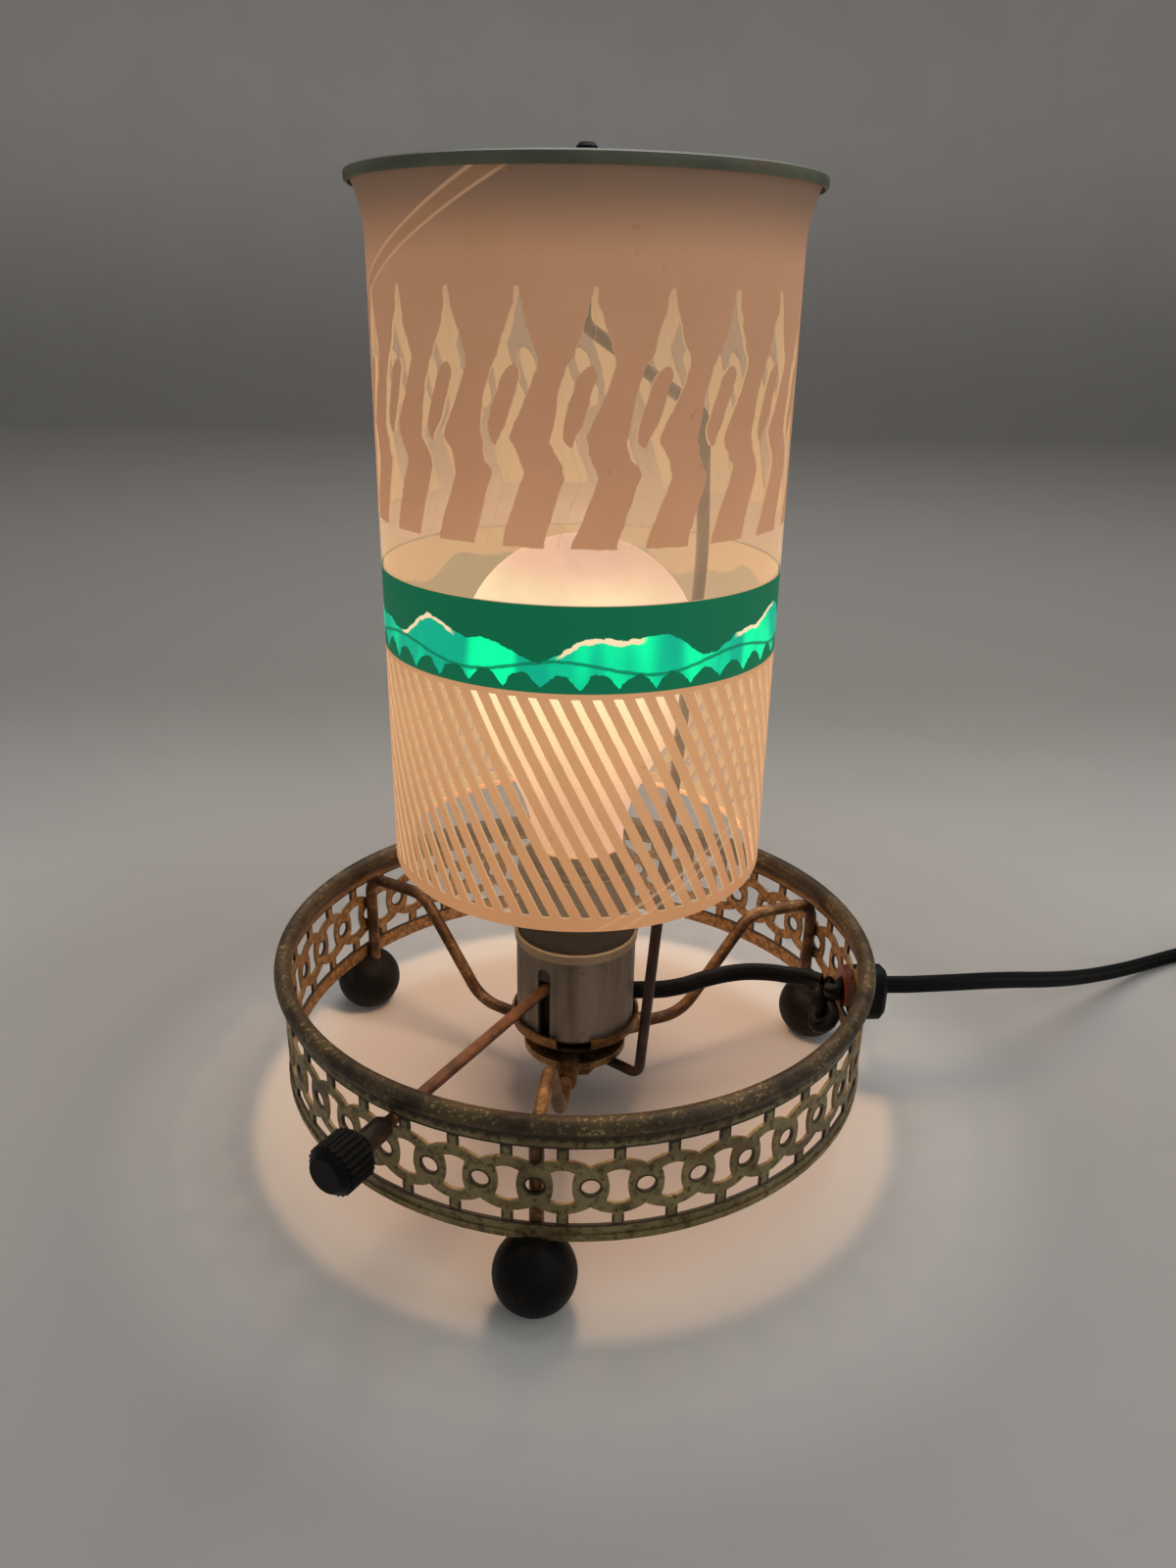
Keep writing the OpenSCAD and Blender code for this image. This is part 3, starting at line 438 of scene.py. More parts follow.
class LampColours(bpy.types.PropertyGroup):
    ink: bpy.props.FloatVectorProperty(
        name="Print", description="Colour of the drum's pale print", subtype="COLOR", size=4,
        min=0, max=1, default=tone(158, 128, 108))
    deep_green: bpy.props.FloatVectorProperty(
        name="Deep green", description="Dark green of the drum's band", subtype="COLOR", size=4,
        min=0, max=1, default=tone(0, 100, 66))
    bright_green: bpy.props.FloatVectorProperty(
        name="Bright green", description="Light green of the drum's band", subtype="COLOR", size=4,
        min=0, max=1, default=tone(0, 232, 150))
    floor: bpy.props.FloatVectorProperty(
        name="Floor", description="Colour of the floor and backdrop", subtype="COLOR", size=4,
        min=0, max=1, default=tone(216, 213, 208))


# Pieces

class LAMP_OT_stage(bpy.types.Operator):
    """Floor, backdrop, soft light and the camera"""
    bl_idname = "lamp.stage"
    bl_label = "Stage"

    def execute(self, context):
        colours = context.scene.lamp_colours
        bpy.ops.object.select_all(action="DESELECT")
        bpy.ops.mesh.primitive_plane_add(size=6, location=(0, 0, 0))
        floor = context.object
        floor.name = "floor"
        bpy.ops.object.mode_set(mode="EDIT")
        bpy.ops.mesh.select_all(action="SELECT")
        bpy.ops.transform.translate(value=(0, -1.1, 0))
        work = bmesh.from_edit_mesh(floor.data)
        for edge in work.edges:
            edge.select_set(all(v.co.y > 1 for v in edge.verts))
        work.select_flush_mode()
        bmesh.update_edit_mesh(floor.data)
        bpy.ops.mesh.extrude_region()
        bpy.ops.transform.translate(value=(0, 0, 3))
        work = bmesh.from_edit_mesh(floor.data)
        for edge in work.edges:
            edge.select_set(all(abs(v.co.z) < 1e-6 and v.co.y > 1 for v in edge.verts))
        work.select_flush_mode()
        bmesh.update_edit_mesh(floor.data)
        bpy.ops.mesh.bevel(offset=1.6, segments=32)
        bpy.ops.object.mode_set(mode="OBJECT")
        bpy.ops.object.shade_smooth()

        # Painted shade: darker behind the lamp, pale again up the wall, with a soft painted shadow round
        # the pool of light
        paint = Paint("stage_paper")
        colour = paint.mix(paint.rise(paint.y, 60, 420), colours.floor[:], tone(160, 156, 150))
        colour = paint.mix(paint.rise(paint.z, 40, 600), colour, tone(218, 213, 207))
        radius = paint.math("SQRT", paint.x * paint.x + paint.y * paint.y)
        shade = paint.rise(radius, 112, 145) * paint.fall(radius, 160, 300)
        colour = paint.mix(shade * 0.5, colour, tone(174, 170, 166))
        # Painted shade: a warm darker patch on the floor under the lamp, inside the ring
        colour = paint.mix(paint.fall(radius, 60, 96) * 0.5, colour, tone(176, 154, 140))
        colour = paint.mix(paint.noise(9, 4) * 0.25, colour, tone(140, 136, 130))
        floor.data.materials.append(paint.finish(Base_Color=colour, Roughness=0.9, Specular_IOR_Level=0.1))

        world = bpy.data.worlds.new("soft_room")
        context.scene.world = world
        world.use_nodes = True
        world.node_tree.nodes["Background"].inputs["Color"].default_value = (0.97, 0.98, 1.0, 1)
        world.node_tree.nodes["Background"].inputs["Strength"].default_value = ROOM_LIGHT

        for name, place, aim, size, power in LIGHTS:
            lamp = bpy.data.lights.new(name, "AREA")
            lamp.energy = power
            lamp.size = size
            holder = bpy.data.objects.new(name, lamp)
            holder.location = place
            holder.rotation_euler = (Vector(aim) - Vector(place)).to_track_quat("-Z", "Y").to_euler()
            context.collection.objects.link(holder)

        view = Matrix.Rotation(CAMERA_PAN, 3, "Z")
        right = view @ Vector((1, 0, 0))
        ahead = view @ Vector((0, math.cos(CAMERA_PITCH), -math.sin(CAMERA_PITCH)))
        upward = view @ Vector((0, math.sin(CAMERA_PITCH), math.cos(CAMERA_PITCH)))
        across = math.cos(CAMERA_ROLL) * right + math.sin(CAMERA_ROLL) * upward
        above = -math.sin(CAMERA_ROLL) * right + math.cos(CAMERA_ROLL) * upward
        camera = bpy.data.cameras.new("camera")
        camera.lens = CAMERA_LENS
        camera.sensor_width = CAMERA_SENSOR
        camera.clip_start = 0.01
        holder = bpy.data.objects.new("camera", camera)
        turn = Matrix((across, above, -ahead)).transposed().to_4x4()
        holder.matrix_world = Matrix.Translation(CAMERA_PLACE) @ turn
        context.collection.objects.link(holder)
        context.scene.camera = holder
        context.scene.view_settings.view_transform = "Standard"
        return {"FINISHED"}


class LAMP_OT_cord(bpy.types.Operator):
    """Free cord from the flange to its coil and plug"""
    bl_idname = "lamp.cord"
    bl_label = "Cord, coil and plug"

    def execute(self, context):
        sizes = context.scene.lamp_sizes
        vinyl = black_vinyl("cord_vinyl", 0.35)
        coil = coil_line()
        end, last = coil[-1], (coil[-1] - coil[-2]).normalized()
        heading = Vector((math.sin(math.radians(PLUG_DEG)), -math.cos(math.radians(PLUG_DEG)), 0))
        plug = Vector(PLUG_AT)
        run = smooth_line(list(RUN_POINTS) + [coil[0]], 3)
        tail = smooth_line([end, end + 0.003 * last, end + 0.008 * last, plug - 0.012 * heading,
                            plug - 0.006 * heading, plug], 3)
        line = run[:-1] + coil + tail[1:]
        cord = swept("cord", line, two_core(sizes.cord_width, sizes.cord_thickness))
        take("cord", vinyl, "base", "black_cord", "cord_run", "cord_coil", "cord_tail")
        length = sum((b - a).length for a, b in zip(line, line[1:]))
        dress("plug_body", black_vinyl("plug_vinyl", 0.4))
        dress("coil_tie", black_vinyl("tie_tape_black", 0.2))
        dress("plug_blades", worn_brass("blade_brass_plate", tone(150, 120, 70), tone(176, 146, 90),
                                        tone(196, 170, 115), 1.0, 200))
        return {"FINISHED"}


class LAMP_OT_lead(bpy.types.Operator):
    """Lead inside the ring, with its knot, bush and flange"""
    bl_idname = "lamp.lead"
    bl_label = "Inner lead"

    def execute(self, context):
        sizes = context.scene.lamp_sizes
        centre = Vector(KNOT_AT)
        knot = []
        for degrees in range(192, 529, 6):
            a = math.radians(degrees)
            knot.append(centre + KNOT_SCALE * Vector((
                -math.sin(3 * a), math.sin(a) + 2 * math.sin(2 * a), 2 * math.cos(2 * a) - math.cos(a))))
        first = smooth_line(list(LEAD_IN) + [knot[0]], 3)[:-1]
        second = smooth_line([knot[-1]] + list(LEAD_OUT), 3)[1:]
        line = first + knot + second
        flat = two_core(sizes.cord_width * 1000, sizes.cord_thickness * 1000)
        rounder = two_core(2 * KNOT_R + 0.5, 2 * KNOT_R - 0.5)
        ups, shapes = [], []
        for i, place in enumerate(line):
            inside = len(first) <= i < len(first) + len(knot)
            ups.append((0, centre.y - place.y, centre.z - place.z) if inside else (0, 0, 1))
            away = min(abs(i - len(first)), abs(i - len(first) - len(knot) + 1))
            share = max(0.0, 1 - away / KNOT_BLEND) if not inside else 1.0
            shapes.append([(a + (c - a) * share, b + (d - b) * share)
                           for (a, b), (c, d) in zip(flat, rounder)])
        line = [p * MM for p in line]
        shapes = [[(a * MM, b * MM) for a, b in shape] for shape in shapes]
        swept("inner_lead", line, None, ups, shapes)
        take("inner_lead", black_vinyl("lead_vinyl", 0.5), "base", "black_cord", "cord_lead")
        dress("grommet_flange", black_vinyl("flange_moulding", 0.4))
        dress("grommet_bush", worn_brass("red_fibre_bush", tone(58, 24, 16), tone(82, 34, 22),
                                         tone(98, 48, 32), 0.0, 300))
        return {"FINISHED"}


def drum_print(name, colours, glow):
    """The drum's printed film: pale ink with clear windows and a green band, and a painted glow from the
    bulb behind it.
    """
    paint = Paint(name)
    x, y, z = paint.x, paint.y, paint.z
    turn = paint.math("ARCTAN2", x, -y)
    arc = turn * DRUM_R
    ragged = (paint.noise(420, 3) - 0.5) * 1.1
    soft = 0.12

    # Slanting stripes below the band
    pitch = 2 * math.pi * DRUM_R / STRIPES
    phase = paint.math("FRACT", (arc + z * 0.5) / pitch + 100)
    stripe = paint.until(abs(phase - 0.5) * pitch + ragged * 0.3, 1.05, soft)
    edge = z + ragged * 0.4
    stripe = stripe * paint.both(paint.past(edge, STRIPES_LOW, 0.15), paint.until(edge, STRIPES_HIGH, 0.15))

    # Zigzag windows above it: long bars hang from the top, short tongues float between them
    wide = 2 * math.pi * DRUM_R / ZIGZAGS
    wavy = (paint.noise(150, 2) - 0.5) * 2.6
    level = z + wavy * 1.5
    sway = (paint.straight(level, 175, 189, -7.0, -2.0) + paint.rise(level, 188, 197) * -3.5
            + paint.straight(level, 195.5, 211.5, 0, 5.5))
    across = paint.math("WRAP", arc - sway - 2.1 + ragged * 0.6 + wavy, wide / 2, -wide / 2)
    reach = (paint.straight(z, 175, 190, 3.1, 3.5) + paint.straight(z, 197, 205, 0, 1.3)
             + paint.straight(z, 210, 216, 0, -2.3) + paint.straight(z, 216, 220.5, 0, -1.5)
             + paint.straight(z, 220.5, 224, 0, -0.5))
    tongue = 2.0 * paint.math("SQRT", paint.straight(z, 194.4, 199) * paint.straight(z, 210, 207.8))
    clear = paint.until(abs(across) - reach, 0, soft) * paint.past(abs(across) - tongue, 0, soft)
    clear = clear * paint.until(z, ZIGZAG_HIGH, 0.25)
    open_ring = paint.until(z + ragged * 0.6, BARS_LOW, 0.2)
    zigzag = paint.either(clear, open_ring) * paint.past(z, BAND_HIGH, 0.1)
    window = paint.either(stripe, zigzag)

    # Green band: rolling waves with pale crests over a row of scallops
    band = paint.both(paint.past(z, BAND_LOW, 0.1), paint.until(z, BAND_HIGH, 0.1))
    crest = (paint.math("SINE", turn * 7) * 2.6 + paint.math("SINE", turn * 16 + 1.3) * 1.2 + 153.0
             + ragged * 1.8 + wavy * 0.5)
    below = paint.until(z - crest, 0, 0.15)
    lit_side = paint.rise(paint.math("SINE", turn * 7 + 0.9), 0.1, 0.4)
    cream = below * paint.rise(z - crest, -1.2, -0.85) * lit_side
    scallop = abs(paint.math("SINE", turn * 18 + ragged * 0.12)) * 3.6 + 143.2 + ragged * 2.6 + wavy * 0.6
    row = paint.until(z - scallop, 0, 0.15)
    swell = paint.fall(abs(z - (paint.math("SINE", turn * 7 + 2.2) * 1.6 + 147.9 + ragged * 0.6)), 0.3, 0.5)
    brush = paint.noise(60, 2, stretch=(1, 1, 0.25))
    teal = paint.mix(paint.rise(brush, 0.40, 0.56), tone(0, 156, 122), colours["bright"])
    green = paint.mix(below, colours["deep"], teal)
    green = paint.mix(cream, green, tone(226, 200, 160))
    green = paint.mix(swell * below * 0.85, green, tone(2, 104, 72))
    green = paint.mix(row, green, tone(0, 88, 58))

    # Age: broad stains, rust-brown spots, and the double edges of two strips of old tape
    stain = paint.noise(38, 4)
    spots = paint.rise(paint.noise(260, 2), 0.7, 0.78)
    grit = paint.rise(paint.noise(1400, 2), 0.68, 0.74)
    upper = z - arc * 0.47
    upper_edges = paint.either(paint.fall(abs(upper - 254.9), 0.2, 0.5),
                               paint.fall(abs(upper - 251.6), 0.15, 0.45))
    at_left = paint.fall(arc, -18, -12)
    upper_edges = upper_edges * paint.rise(z, 216, 226) * at_left
    lower = arc * 0.55 - z
    lower_edges = paint.either(paint.fall(abs(lower + 77.0), 0.2, 0.5),
                               paint.fall(abs(lower + 80.6), 0.2, 0.5))
    lower_edges = lower_edges * paint.fall(z, 112, 118) * paint.rise(arc, 0, 6)
    strip = paint.both(paint.rise(upper, 251.6, 251.9), paint.fall(upper, 254.6, 254.9)) * at_left
    marks = paint.either(upper_edges, lower_edges)

    ink = paint.mix(paint.rise(stain, 0.35, 0.75), colours["ink"], tone(152, 122, 100))
    # The print turns darker grey towards the top
    ink = paint.mix(paint.rise(z, 230, 245), ink, tone(116, 106, 97))
    ink = paint.mix(paint.either(spots * 0.45, grit * 0.35), ink, tone(120, 78, 46))
    ink = paint.mix(band, ink, green)
    film = paint.mix(marks * 0.6, tone(190, 172, 146), tone(236, 226, 205))
    colour = paint.mix(window, ink, film)

    # Inner faces get a dark base colour so the bulb's light barely shows on them, and a painted glow of
    # their own instead
    radius = paint.math("SQRT", x * x + y * y)
    widened = paint.straight(z, SLEEVE_TOP, DRUM_TOP)
    middle = widened * widened * FLARE + (DRUM_R - DRUM_WALL / 2)
    inner = paint.until(radius - middle, 0, DRUM_WALL / 5) * paint.past(z, DRUM_BOTTOM + 1.35, 0.15)
    colour = paint.mix(inner, colour, tone(62, 52, 42))

    # Painted glow: the bulb's light through the film, strongest near the bulb's height and dark at the top;
    # stains, spots and the tape strip dim it, the band glows green, the tape edges brighter
    light = paint.ramp((z - 80) / 170, [
        (0.0, (0.44, 0.200, 0.080, 1)), (0.05, (0.46, 0.200, 0.072, 1)), (0.30, (0.58, 0.285, 0.115, 1)),
        (0.55, (0.42, 0.190, 0.085, 1)), (0.70, (0.31, 0.140, 0.064, 1)), (0.88, (0.28, 0.132, 0.062, 1)),
        (0.945, (0.09, 0.045, 0.022, 1)), (1.0, (0.010, 0.006, 0.002, 1))])
    light = paint.mix(stain * 0.35, light, (0.16, 0.065, 0.025, 1))
    light = paint.mix(paint.either(spots * 0.3, strip * 0.35), light, (0.20, 0.08, 0.02, 1))
    light = paint.mix(band, light, paint.mix(below * 0.5 + 0.62, (0, 0, 0, 1), green))
    # Painted glow on the inner faces, dimmer towards the top
    inside = paint.mix(band * below, (0.62, 0.37, 0.17, 1), (0.26, 0.25, 0.13, 1))
    inside = paint.mix(paint.rise(z, 205, 240) * 0.6, inside, (0.30, 0.15, 0.07, 1))
    light = paint.mix(inner, light, inside)
    # Painted glow in the clear windows, dimmer higher up
    window_glow = paint.mix(paint.rise(z, 141, 162), (0.32, 0.20, 0.11, 1), (0.34, 0.21, 0.12, 1))
    window_glow = paint.mix(paint.rise(z, 176, 214) * 0.55, window_glow, (0.20, 0.13, 0.08, 1))
    light = paint.mix(window, light, window_glow)
    light = paint.mix(marks * 0.3, light, (0.62, 0.34, 0.17, 1))
    milky = paint.straight(z, 100, 165, 0.16, 0.30) + paint.rise(stain, 0.45, 0.8) * 0.12 + marks * 0.3
    alpha = 1 - window * (1 - milky)
    rough = 0.52 - window * 0.4
    crinkle = paint.noise(60, 2) + paint.noise(900, 2) * 0.03 + (1 - window) * 0.02
    return paint.finish(Base_Color=colour, Roughness=rough, Alpha=alpha, Emission_Color=light,
                        Emission_Strength=glow, Specular_IOR_Level=0.35,
                        Normal=paint.bump(crinkle, 0.0012, 0.35))


class LAMP_OT_drum(bpy.types.Operator):
    """Printed drum, its moulded rim, turbine and bearing"""
    bl_idname = "lamp.drum"
    bl_label = "Drum"

    def execute(self, context):
        sizes, colours = context.scene.lamp_sizes, context.scene.lamp_colours
        outer = [(48.2, DRUM_BOTTOM), (48.9, DRUM_BOTTOM + 0.19), (49.41, DRUM_BOTTOM + 0.7),
                 (DRUM_R, DRUM_BOTTOM + 1.4), (DRUM_R, 110), (DRUM_R, 142), (DRUM_R, 162),
                 (DRUM_R, 195), (DRUM_R, 220)]
        flare = [(DRUM_R + FLARE * (k / 12) ** 2, SLEEVE_TOP + (DRUM_TOP - SLEEVE_TOP) * k / 12)
                 for k in range(13)]
        line = outer + flare
        inner = [(r - DRUM_WALL, z + (0.45 if i < 4 else 0)) for i, (r, z) in enumerate(line)]
        turned(line + inner[::-1], sizes.drum_steps)
        inks = {"ink": colours.ink[:], "deep": colours.deep_green[:], "bright": colours.bright_green[:]}
        take("drum_film", drum_print("printed_film", inks, sizes.drum_glow), "drum", "printed_drum",
             "drum_sleeve")

        flare_r = DRUM_R + FLARE
        rim = [(flare_r + side, DRUM_TOP + up) for side, up in (
            (-2.2, -1.4), (-1.7, 0.5), (-0.9, 0.95), (0.3, 1.0), (0.95, 0.6), (1.1, -0.2),
            (0.95, -1.1), (0.5, -1.6), (0.2, -1.6), (0.18, 0.05), (-0.7, 0.05), (-1.4, -1.5))]
        turned(rim, sizes.drum_steps)
        paint = Paint("olive_moulding")
        stain = paint.noise(55, 4)
        colour = paint.mix(paint.rise(stain, 0.35, 0.65), tone(88, 92, 72), tone(112, 114, 92))
        colour = paint.mix(paint.rise(paint.noise(160, 3), 0.6, 0.72) * 0.7, colour, tone(118, 92, 62))
        material = paint.finish(Base_Color=colour, Roughness=0.38 + stain * 0.2,
                                Normal=paint.bump(paint.noise(500, 2), 0.0001, 0.5))
        take("drum_rim_moulding", material, "drum", "olive_rim", "drum_rim")

        paint = Paint("stamped_sheet")
        grain = paint.noise(120, 4)
        colour = paint.mix(grain, tone(150, 148, 140), tone(186, 184, 176))
        dress("turbine_fan", paint.finish(Base_Color=colour, Metallic=0.9, Roughness=0.35 + grain * 0.2,
                                          Normal=paint.bump(grain, 0.0002, 0.5)))
        dress("bearing_cup", worn_brass("cup_brass", tone(120, 88, 44), tone(150, 112, 60),
                                        tone(172, 136, 80), 1.0, 220))
        dress("bearing_cap", black_vinyl("cap_moulding", 0.3))
        return {"FINISHED"}


class LAMP_OT_bulb(bpy.types.Operator):
    """Lit bulb with its base and the light that it casts"""
    bl_idname = "lamp.bulb"
    bl_label = "Bulb"

    def execute(self, context):
        sizes = context.scene.lamp_sizes
        wide_r, neck_r, neck_z, top, wall = 31.0, 12.6, 84.0, 168.0, 0.9
        wide_z = top - wide_r
        foot = neck_z + 1
        outline = [(neck_r, neck_z - 4)]
        for k in range(14):
            t = k / 14
            swell = math.sin(math.pi / 2 * t) ** 2
            outline.append((neck_r + (wide_r - neck_r) * swell, foot + (wide_z - foot) * t))
        for k in range(14):
            a = math.pi / 2 * k / 14
            outline.append((wide_r * math.cos(a), wide_z + wide_r * math.sin(a)))
        outline.append((0, top))
        inner = [(max(r - wall, 0), z - (wall if z > wide_z else 0)) for r, z in outline]
        turned(outline + inner[::-1], 72)
        paint = Paint("frosted_glass")
        height = (paint.z - 80) / 88
        glow = paint.ramp(height, [
            (0.0, (0.40, 0.17, 0.07, 1)), (0.2, (0.62, 0.33, 0.18, 1)), (0.45, (0.86, 0.58, 0.32, 1)),
            (0.66, (1.0, 0.92, 0.54, 1)), (0.80, (1.0, 1.0, 0.68, 1)), (0.88, (1.0, 0.80, 0.50, 1)),
            (0.94, (0.74, 0.42, 0.30, 1)), (1.0, (0.62, 0.35, 0.27, 1))])
        # Painted shade: the bulb's glow is dimmer towards the back and right
        side = paint.rise(paint.x * 0.6 + paint.y, -22, 14)
        glow = paint.mix(side * 0.8, glow, (0.66, 0.38, 0.28, 1))
        dust = paint.rise(paint.noise(700, 3), 0.6, 0.75)
        glow = paint.mix(dust * 0.18, glow, (0.30, 0.18, 0.12, 1))
        material = paint.finish(Base_Color=tone(190, 176, 160), Roughness=0.35, Emission_Color=glow,
                                Emission_Strength=1.25, Normal=paint.bump(dust, 0.00005, 0.4))
        bulb = take("bulb_frosted", material, "base", "bulb_glass", "bulb_glass")
        bulb.visible_shadow = False
        dress("bulb_base", worn_brass("bulb_brass_plate", tone(120, 96, 60), tone(150, 122, 78),
                                      tone(176, 150, 104), 1.0, 160))
        dress("bulb_contact", black_vinyl("bulb_glaze_black", 0.2))

        lamp = bpy.data.lights.new("bulb_light", "POINT")
        lamp.energy = sizes.bulb_glow
        lamp.color = (1.0, 0.66, 0.42)
        lamp.shadow_soft_size = 0.022
        holder = bpy.data.objects.new("bulb_light", lamp)
        holder.location = BULB_LIGHT_PLACE
        context.collection.objects.link(holder)
        return {"FINISHED"}


class LAMP_OT_gallery(bpy.types.Operator):
    """Pierced ring with its aged finish, painted warm light on its inner faces and painted shade round its
    windows
    """
    bl_idname = "lamp.gallery"
    bl_label = "Gallery ring"

    def execute(self, context):
        paint = Paint("gallery_patina_and_shade")
        x, y, z = paint.x, paint.y, paint.z
        radial = paint.value(paint.node("VectorMath", {"operation": "DOT_PRODUCT"}, {
            0: paint.value(paint.node("NewGeometry"), "Normal"),
            1: paint.value(paint.node("CombineXYZ", inputs={0: x, 1: y, 2: 0.0}))}), "Value")
        broad, fine = paint.noise(60, 5, rough=0.65), paint.noise(520, 4, rough=0.7)
        khaki = paint.mix(paint.rise(broad, 0.36, 0.58), tone(112, 94, 58), tone(150, 134, 90))
        khaki = paint.mix(paint.rise(fine, 0.50, 0.64) * 0.8, khaki, tone(70, 54, 31))
        # Painted light: the inner faces take a copper-brown, the bulb's warm light painted onto the same
        # metal that is khaki outside
        copper = paint.mix(paint.rise(fine, 0.4, 0.62), tone(98, 68, 38), tone(150, 114, 70))
        colour = paint.mix(paint.fall(radial, -30, 10), khaki, copper)
        ragged = z + (fine - 0.5) * 5 + (broad - 0.5) * 4
        colour = paint.mix(paint.rise(ragged, 46.4, 48.6) * 0.9, colour, tone(40, 28, 16))
        rust = paint.mix(paint.rise(broad, 0.35, 0.65), tone(58, 45, 26), tone(114, 94, 58))
        specks = paint.rise(paint.noise(1000, 3), 0.56, 0.64) * paint.rise(broad, 0.4, 0.6)
        rust = paint.mix(specks, rust, tone(186, 160, 112))
        # Painted shade: the bead is darker on its inner side
        rust = paint.mix(paint.fall(radial, -30, 10) * 0.3 + 0.3, rust, tone(40, 28, 17))
        colour = paint.mix(paint.rise(z + (fine - 0.5) * 2, 50.6, 51.4), colour, rust)

        # Painted shade in a line round the windows
        angle = paint.math("ARCTAN2", x, -y) * (180 / math.pi)
        round_ring = (angle - FIRST_HOLE_DEG) * (LINK_WIDTH * LINKS / 360)
        along = paint.math("WRAP", round_ring, LINK_WIDTH / 2, -LINK_WIDTH / 2)
        up = abs(z - CHAIN_HEIGHT)
        off_hole = paint.math("SQRT", along * along + up * up) - HOLE_R
        no_post = paint.rise(POST_FOOT - up, 0, 0.2) + paint.rise(up, SILL_OFFSET, SILL_OFFSET + 0.2)
        off_post = abs(abs(along) - (LINK_WIDTH - POST_WIDTH) / 2) + no_post * 9
        off_sill = abs(up - SILL_OFFSET)
        edge = paint.both(abs(off_hole), paint.both(off_post, off_sill))
        window_edge_shade = paint.fall(edge + (fine - 0.5) * 0.8, 0.2, 0.8) * 0.9
        colour = paint.mix(window_edge_shade, colour, tone(26, 18, 10))
        dress("gallery_band", paint.finish(
            Base_Color=colour, Metallic=0.4, Roughness=0.34 + fine * 0.3,
            Normal=paint.bump(fine + broad * 0.6, 0.00022, 0.8)))
        return {"FINISHED"}


class LAMP_OT_legs(bpy.types.Operator):
    """Leg wires, ball feet and the hub that holds them"""
    bl_idname = "lamp.legs"
    bl_label = "Legs and feet"

    def execute(self, context):
        copper = worn_brass("leg_copper", tone(62, 40, 22), tone(106, 76, 46), tone(150, 118, 78), 0.6, 90)
        brass = worn_brass("hub_patina", tone(82, 60, 34), tone(126, 98, 60), tone(164, 138, 94), 0.75, 140)
        for side in ("front", "left", "right"):
            dress("leg_" + side, copper)
        for node in ("hub_upper", "hub_lower", "hub_nut", "hub_washer", "hub_nipple"):
            dress(node, brass)
        paint = Paint("black_ball")
        dust = paint.noise(140, 4)
        colour = paint.mix(paint.rise(dust, 0.45, 0.75) * 0.8, tone(7, 7, 6), tone(38, 29, 22))
        material = paint.finish(Base_Color=colour, Roughness=0.42 + dust * 0.28, Specular_IOR_Level=0.15,
                                Normal=paint.bump(paint.noise(420, 3), 0.00012, 0.6))
        for side in ("front", "left", "right"):
            low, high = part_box("foot_" + side)
            bpy.ops.object.select_all(action="DESELECT")
            place = ((low.x + high.x) / 2, (low.y + high.y) / 2, BALL_HEIGHT)
            bpy.ops.mesh.primitive_uv_sphere_add(segments=64, ring_count=40, radius=BALL_R, location=place)
            bpy.ops.object.transform_apply(location=True)
            bpy.ops.object.mode_set(mode="EDIT")
            bpy.ops.mesh.select_all(action="SELECT")
            bpy.ops.mesh.bisect(plane_co=(0, 0, BALL_FLAT), plane_no=(0, 0, 1), use_fill=True,
                                clear_inner=True)
            bpy.ops.object.mode_set(mode="OBJECT")
            take("ball_" + side, material, "base", "black_foot", "foot_" + side)
        return {"FINISHED"}


class LAMP_OT_socket(bpy.types.Operator):
    """Socket with its cap, shell, liner and working parts"""
    bl_idname = "lamp.socket"
    bl_label = "Socket"

    def execute(self, context):
        paint = Paint("dull_aluminium")
        streak = paint.noise(160, 4, stretch=(1, 1, 0.12))
        dents = paint.noise(90, 2)
        # Warm grey: the dull aluminium's own tone, warmed as a painted reflection of the warm light from
        # the table
        colour = paint.mix(paint.rise(streak, 0.35, 0.65), tone(104, 95, 83), tone(140, 131, 119))
        colour = paint.mix(paint.rise(paint.noise(300, 3), 0.62, 0.75) * 0.6, colour, tone(84, 78, 72))
        colour = paint.mix(paint.rise(paint.z, 53.6, 54.0), colour, tone(168, 152, 126))
        dress("socket_shell", paint.finish(Base_Color=colour, Metallic=0.55, Roughness=0.4 + streak * 0.2,
                                           Normal=paint.bump(dents, 0.0012, 0.5)))
        paint = Paint("grey_fibre")
        grain = paint.noise(600, 3)
        dress("socket_liner", paint.finish(
            Base_Color=paint.mix(grain, tone(66, 58, 49), tone(86, 77, 66)), Roughness=0.8,
            Normal=paint.bump(grain, 0.0001, 0.5)))
        dress("socket_cap", worn_brass("cap_patina", tone(78, 50, 26), tone(120, 84, 46),
                                       tone(156, 122, 76), 0.7, 130))
        dress("switch_body", black_vinyl("moulded_body", 0.3))
        works = worn_brass("works_brass", tone(140, 108, 58), tone(166, 130, 74),
                           tone(186, 152, 94), 1.0, 240)
        for node in ("terminal_screws", "screw_shell", "centre_contact", "switch_cam"):
            dress(node, works)
        return {"FINISHED"}


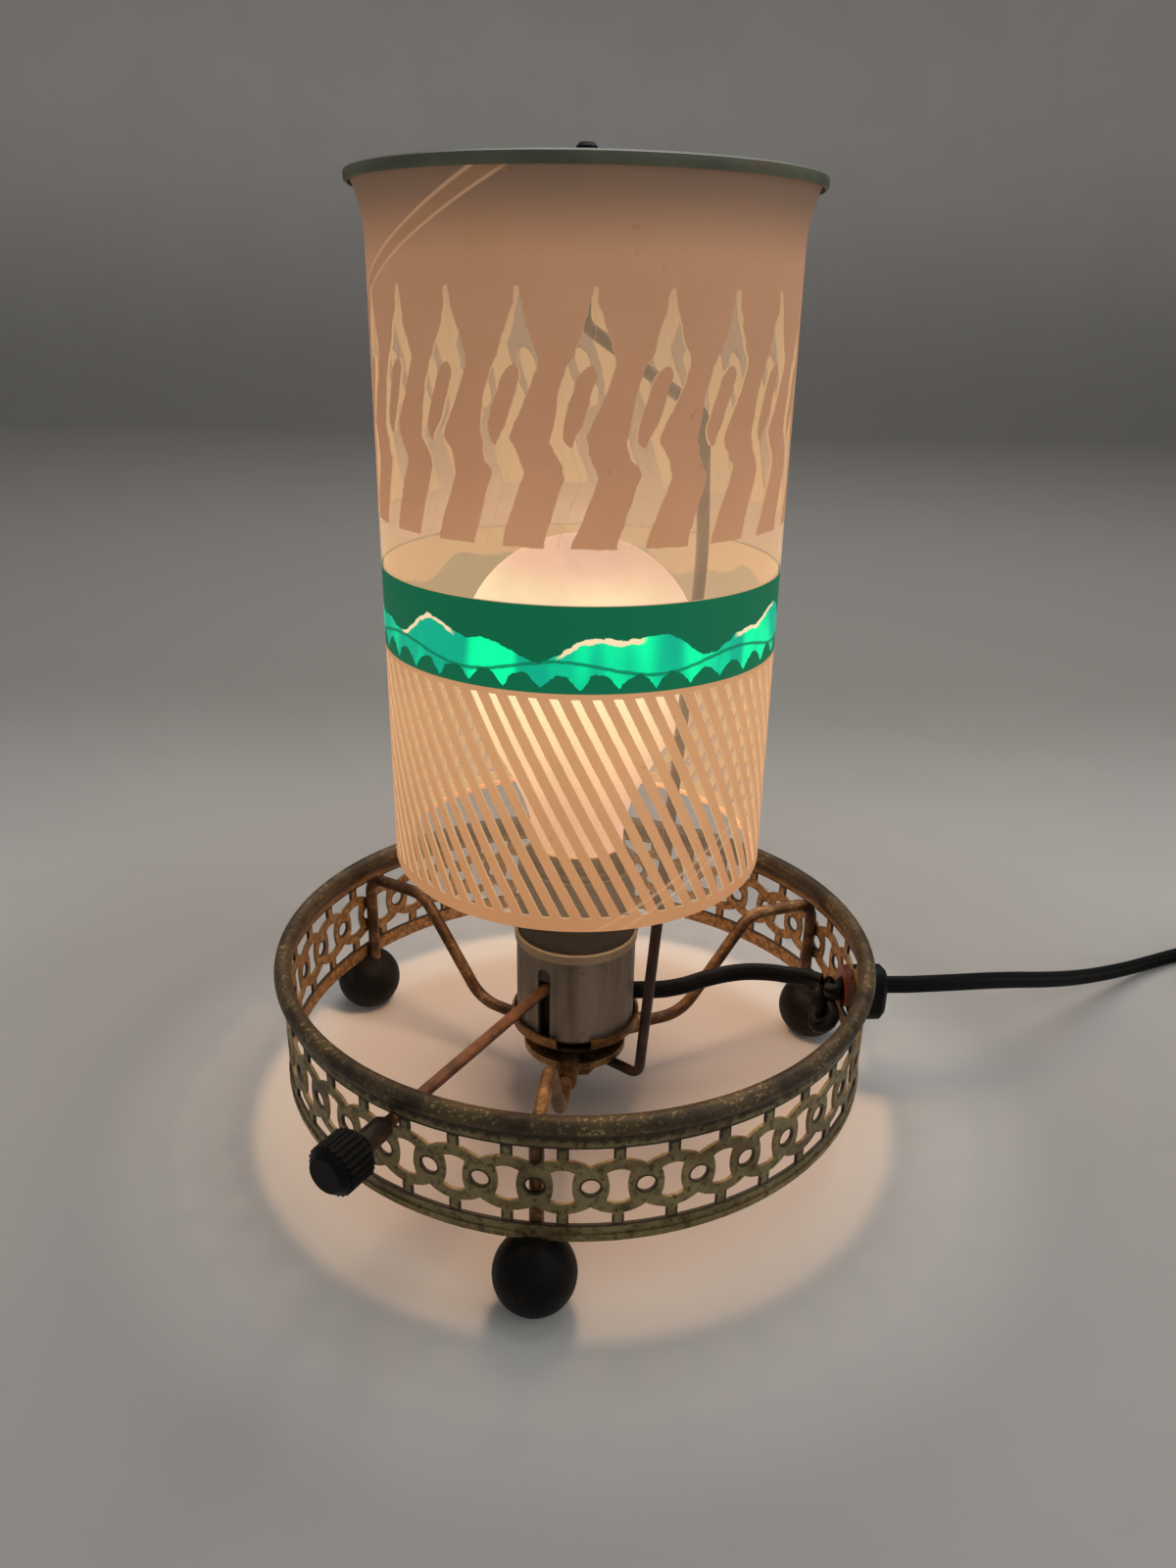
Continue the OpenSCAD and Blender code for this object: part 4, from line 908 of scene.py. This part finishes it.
class LAMP_OT_switch(bpy.types.Operator):
    """Switch rod, coupling and fluted knob"""
    bl_idname = "lamp.switch"
    bl_label = "Switch rod and knob"

    def execute(self, context):
        dress("switch_rod", worn_brass("rod_rust", tone(62, 34, 17), tone(88, 52, 28),
                                       tone(108, 70, 42), 0.1, 120))
        dress("rod_coupling", worn_brass("coupling_rust", tone(40, 26, 17), tone(72, 45, 28),
                                         tone(100, 66, 42), 0.3, 160))
        paint = Paint("knob_moulding")
        wear = paint.noise(350, 3)
        colour = paint.mix(paint.rise(wear, 0.55, 0.8) * 0.6, tone(6, 6, 5), tone(30, 26, 22))
        dress("switch_knob", paint.finish(Base_Color=colour, Roughness=0.34 + wear * 0.2,
                                          Specular_IOR_Level=0.15, Normal=paint.bump(wear, 0.0001, 0.4)))
        return {"FINISHED"}


class LAMP_OT_pivot(bpy.types.Operator):
    """Pivot wire that carries the drum"""
    bl_idname = "lamp.pivot"
    bl_label = "Pivot wire"

    def execute(self, context):
        dress("pivot_wire", worn_brass("wire_rust", tone(26, 12, 8), tone(46, 24, 15),
                                       tone(70, 42, 28), 0.15, 110))
        return {"FINISHED"}


class LAMP_PT_panel(bpy.types.Panel):
    """The lamp's sizes, colours and pieces"""
    bl_idname = "LAMP_PT_panel"
    bl_label = "Motion Lamp"
    bl_space_type = "VIEW_3D"
    bl_region_type = "UI"
    bl_category = "Motion Lamp"

    def draw(self, context):
        for group in (context.scene.lamp_sizes, context.scene.lamp_colours):
            box = self.layout.box()
            for name in group.__annotations__:
                box.prop(group, name)
        for operator in PIECES:
            self.layout.operator(operator.bl_idname)


PIECES = (LAMP_OT_stage, LAMP_OT_cord, LAMP_OT_lead, LAMP_OT_drum, LAMP_OT_bulb, LAMP_OT_gallery,
          LAMP_OT_legs, LAMP_OT_socket, LAMP_OT_switch, LAMP_OT_pivot)
CLASSES = (LampSizes, LampColours, *PIECES, LAMP_PT_panel)


def register():
    for cls in CLASSES:
        bpy.utils.register_class(cls)
    bpy.types.Scene.lamp_sizes = bpy.props.PointerProperty(type=LampSizes)
    bpy.types.Scene.lamp_colours = bpy.props.PointerProperty(type=LampColours)


def unregister():
    del bpy.types.Scene.lamp_colours
    del bpy.types.Scene.lamp_sizes
    for cls in reversed(CLASSES):
        bpy.utils.unregister_class(cls)


def main():
    register()
    for piece in PIECES:
        group, name = piece.bl_idname.split(".")
        getattr(getattr(bpy.ops, group), name)()


if __name__ == "__main__":
    main()
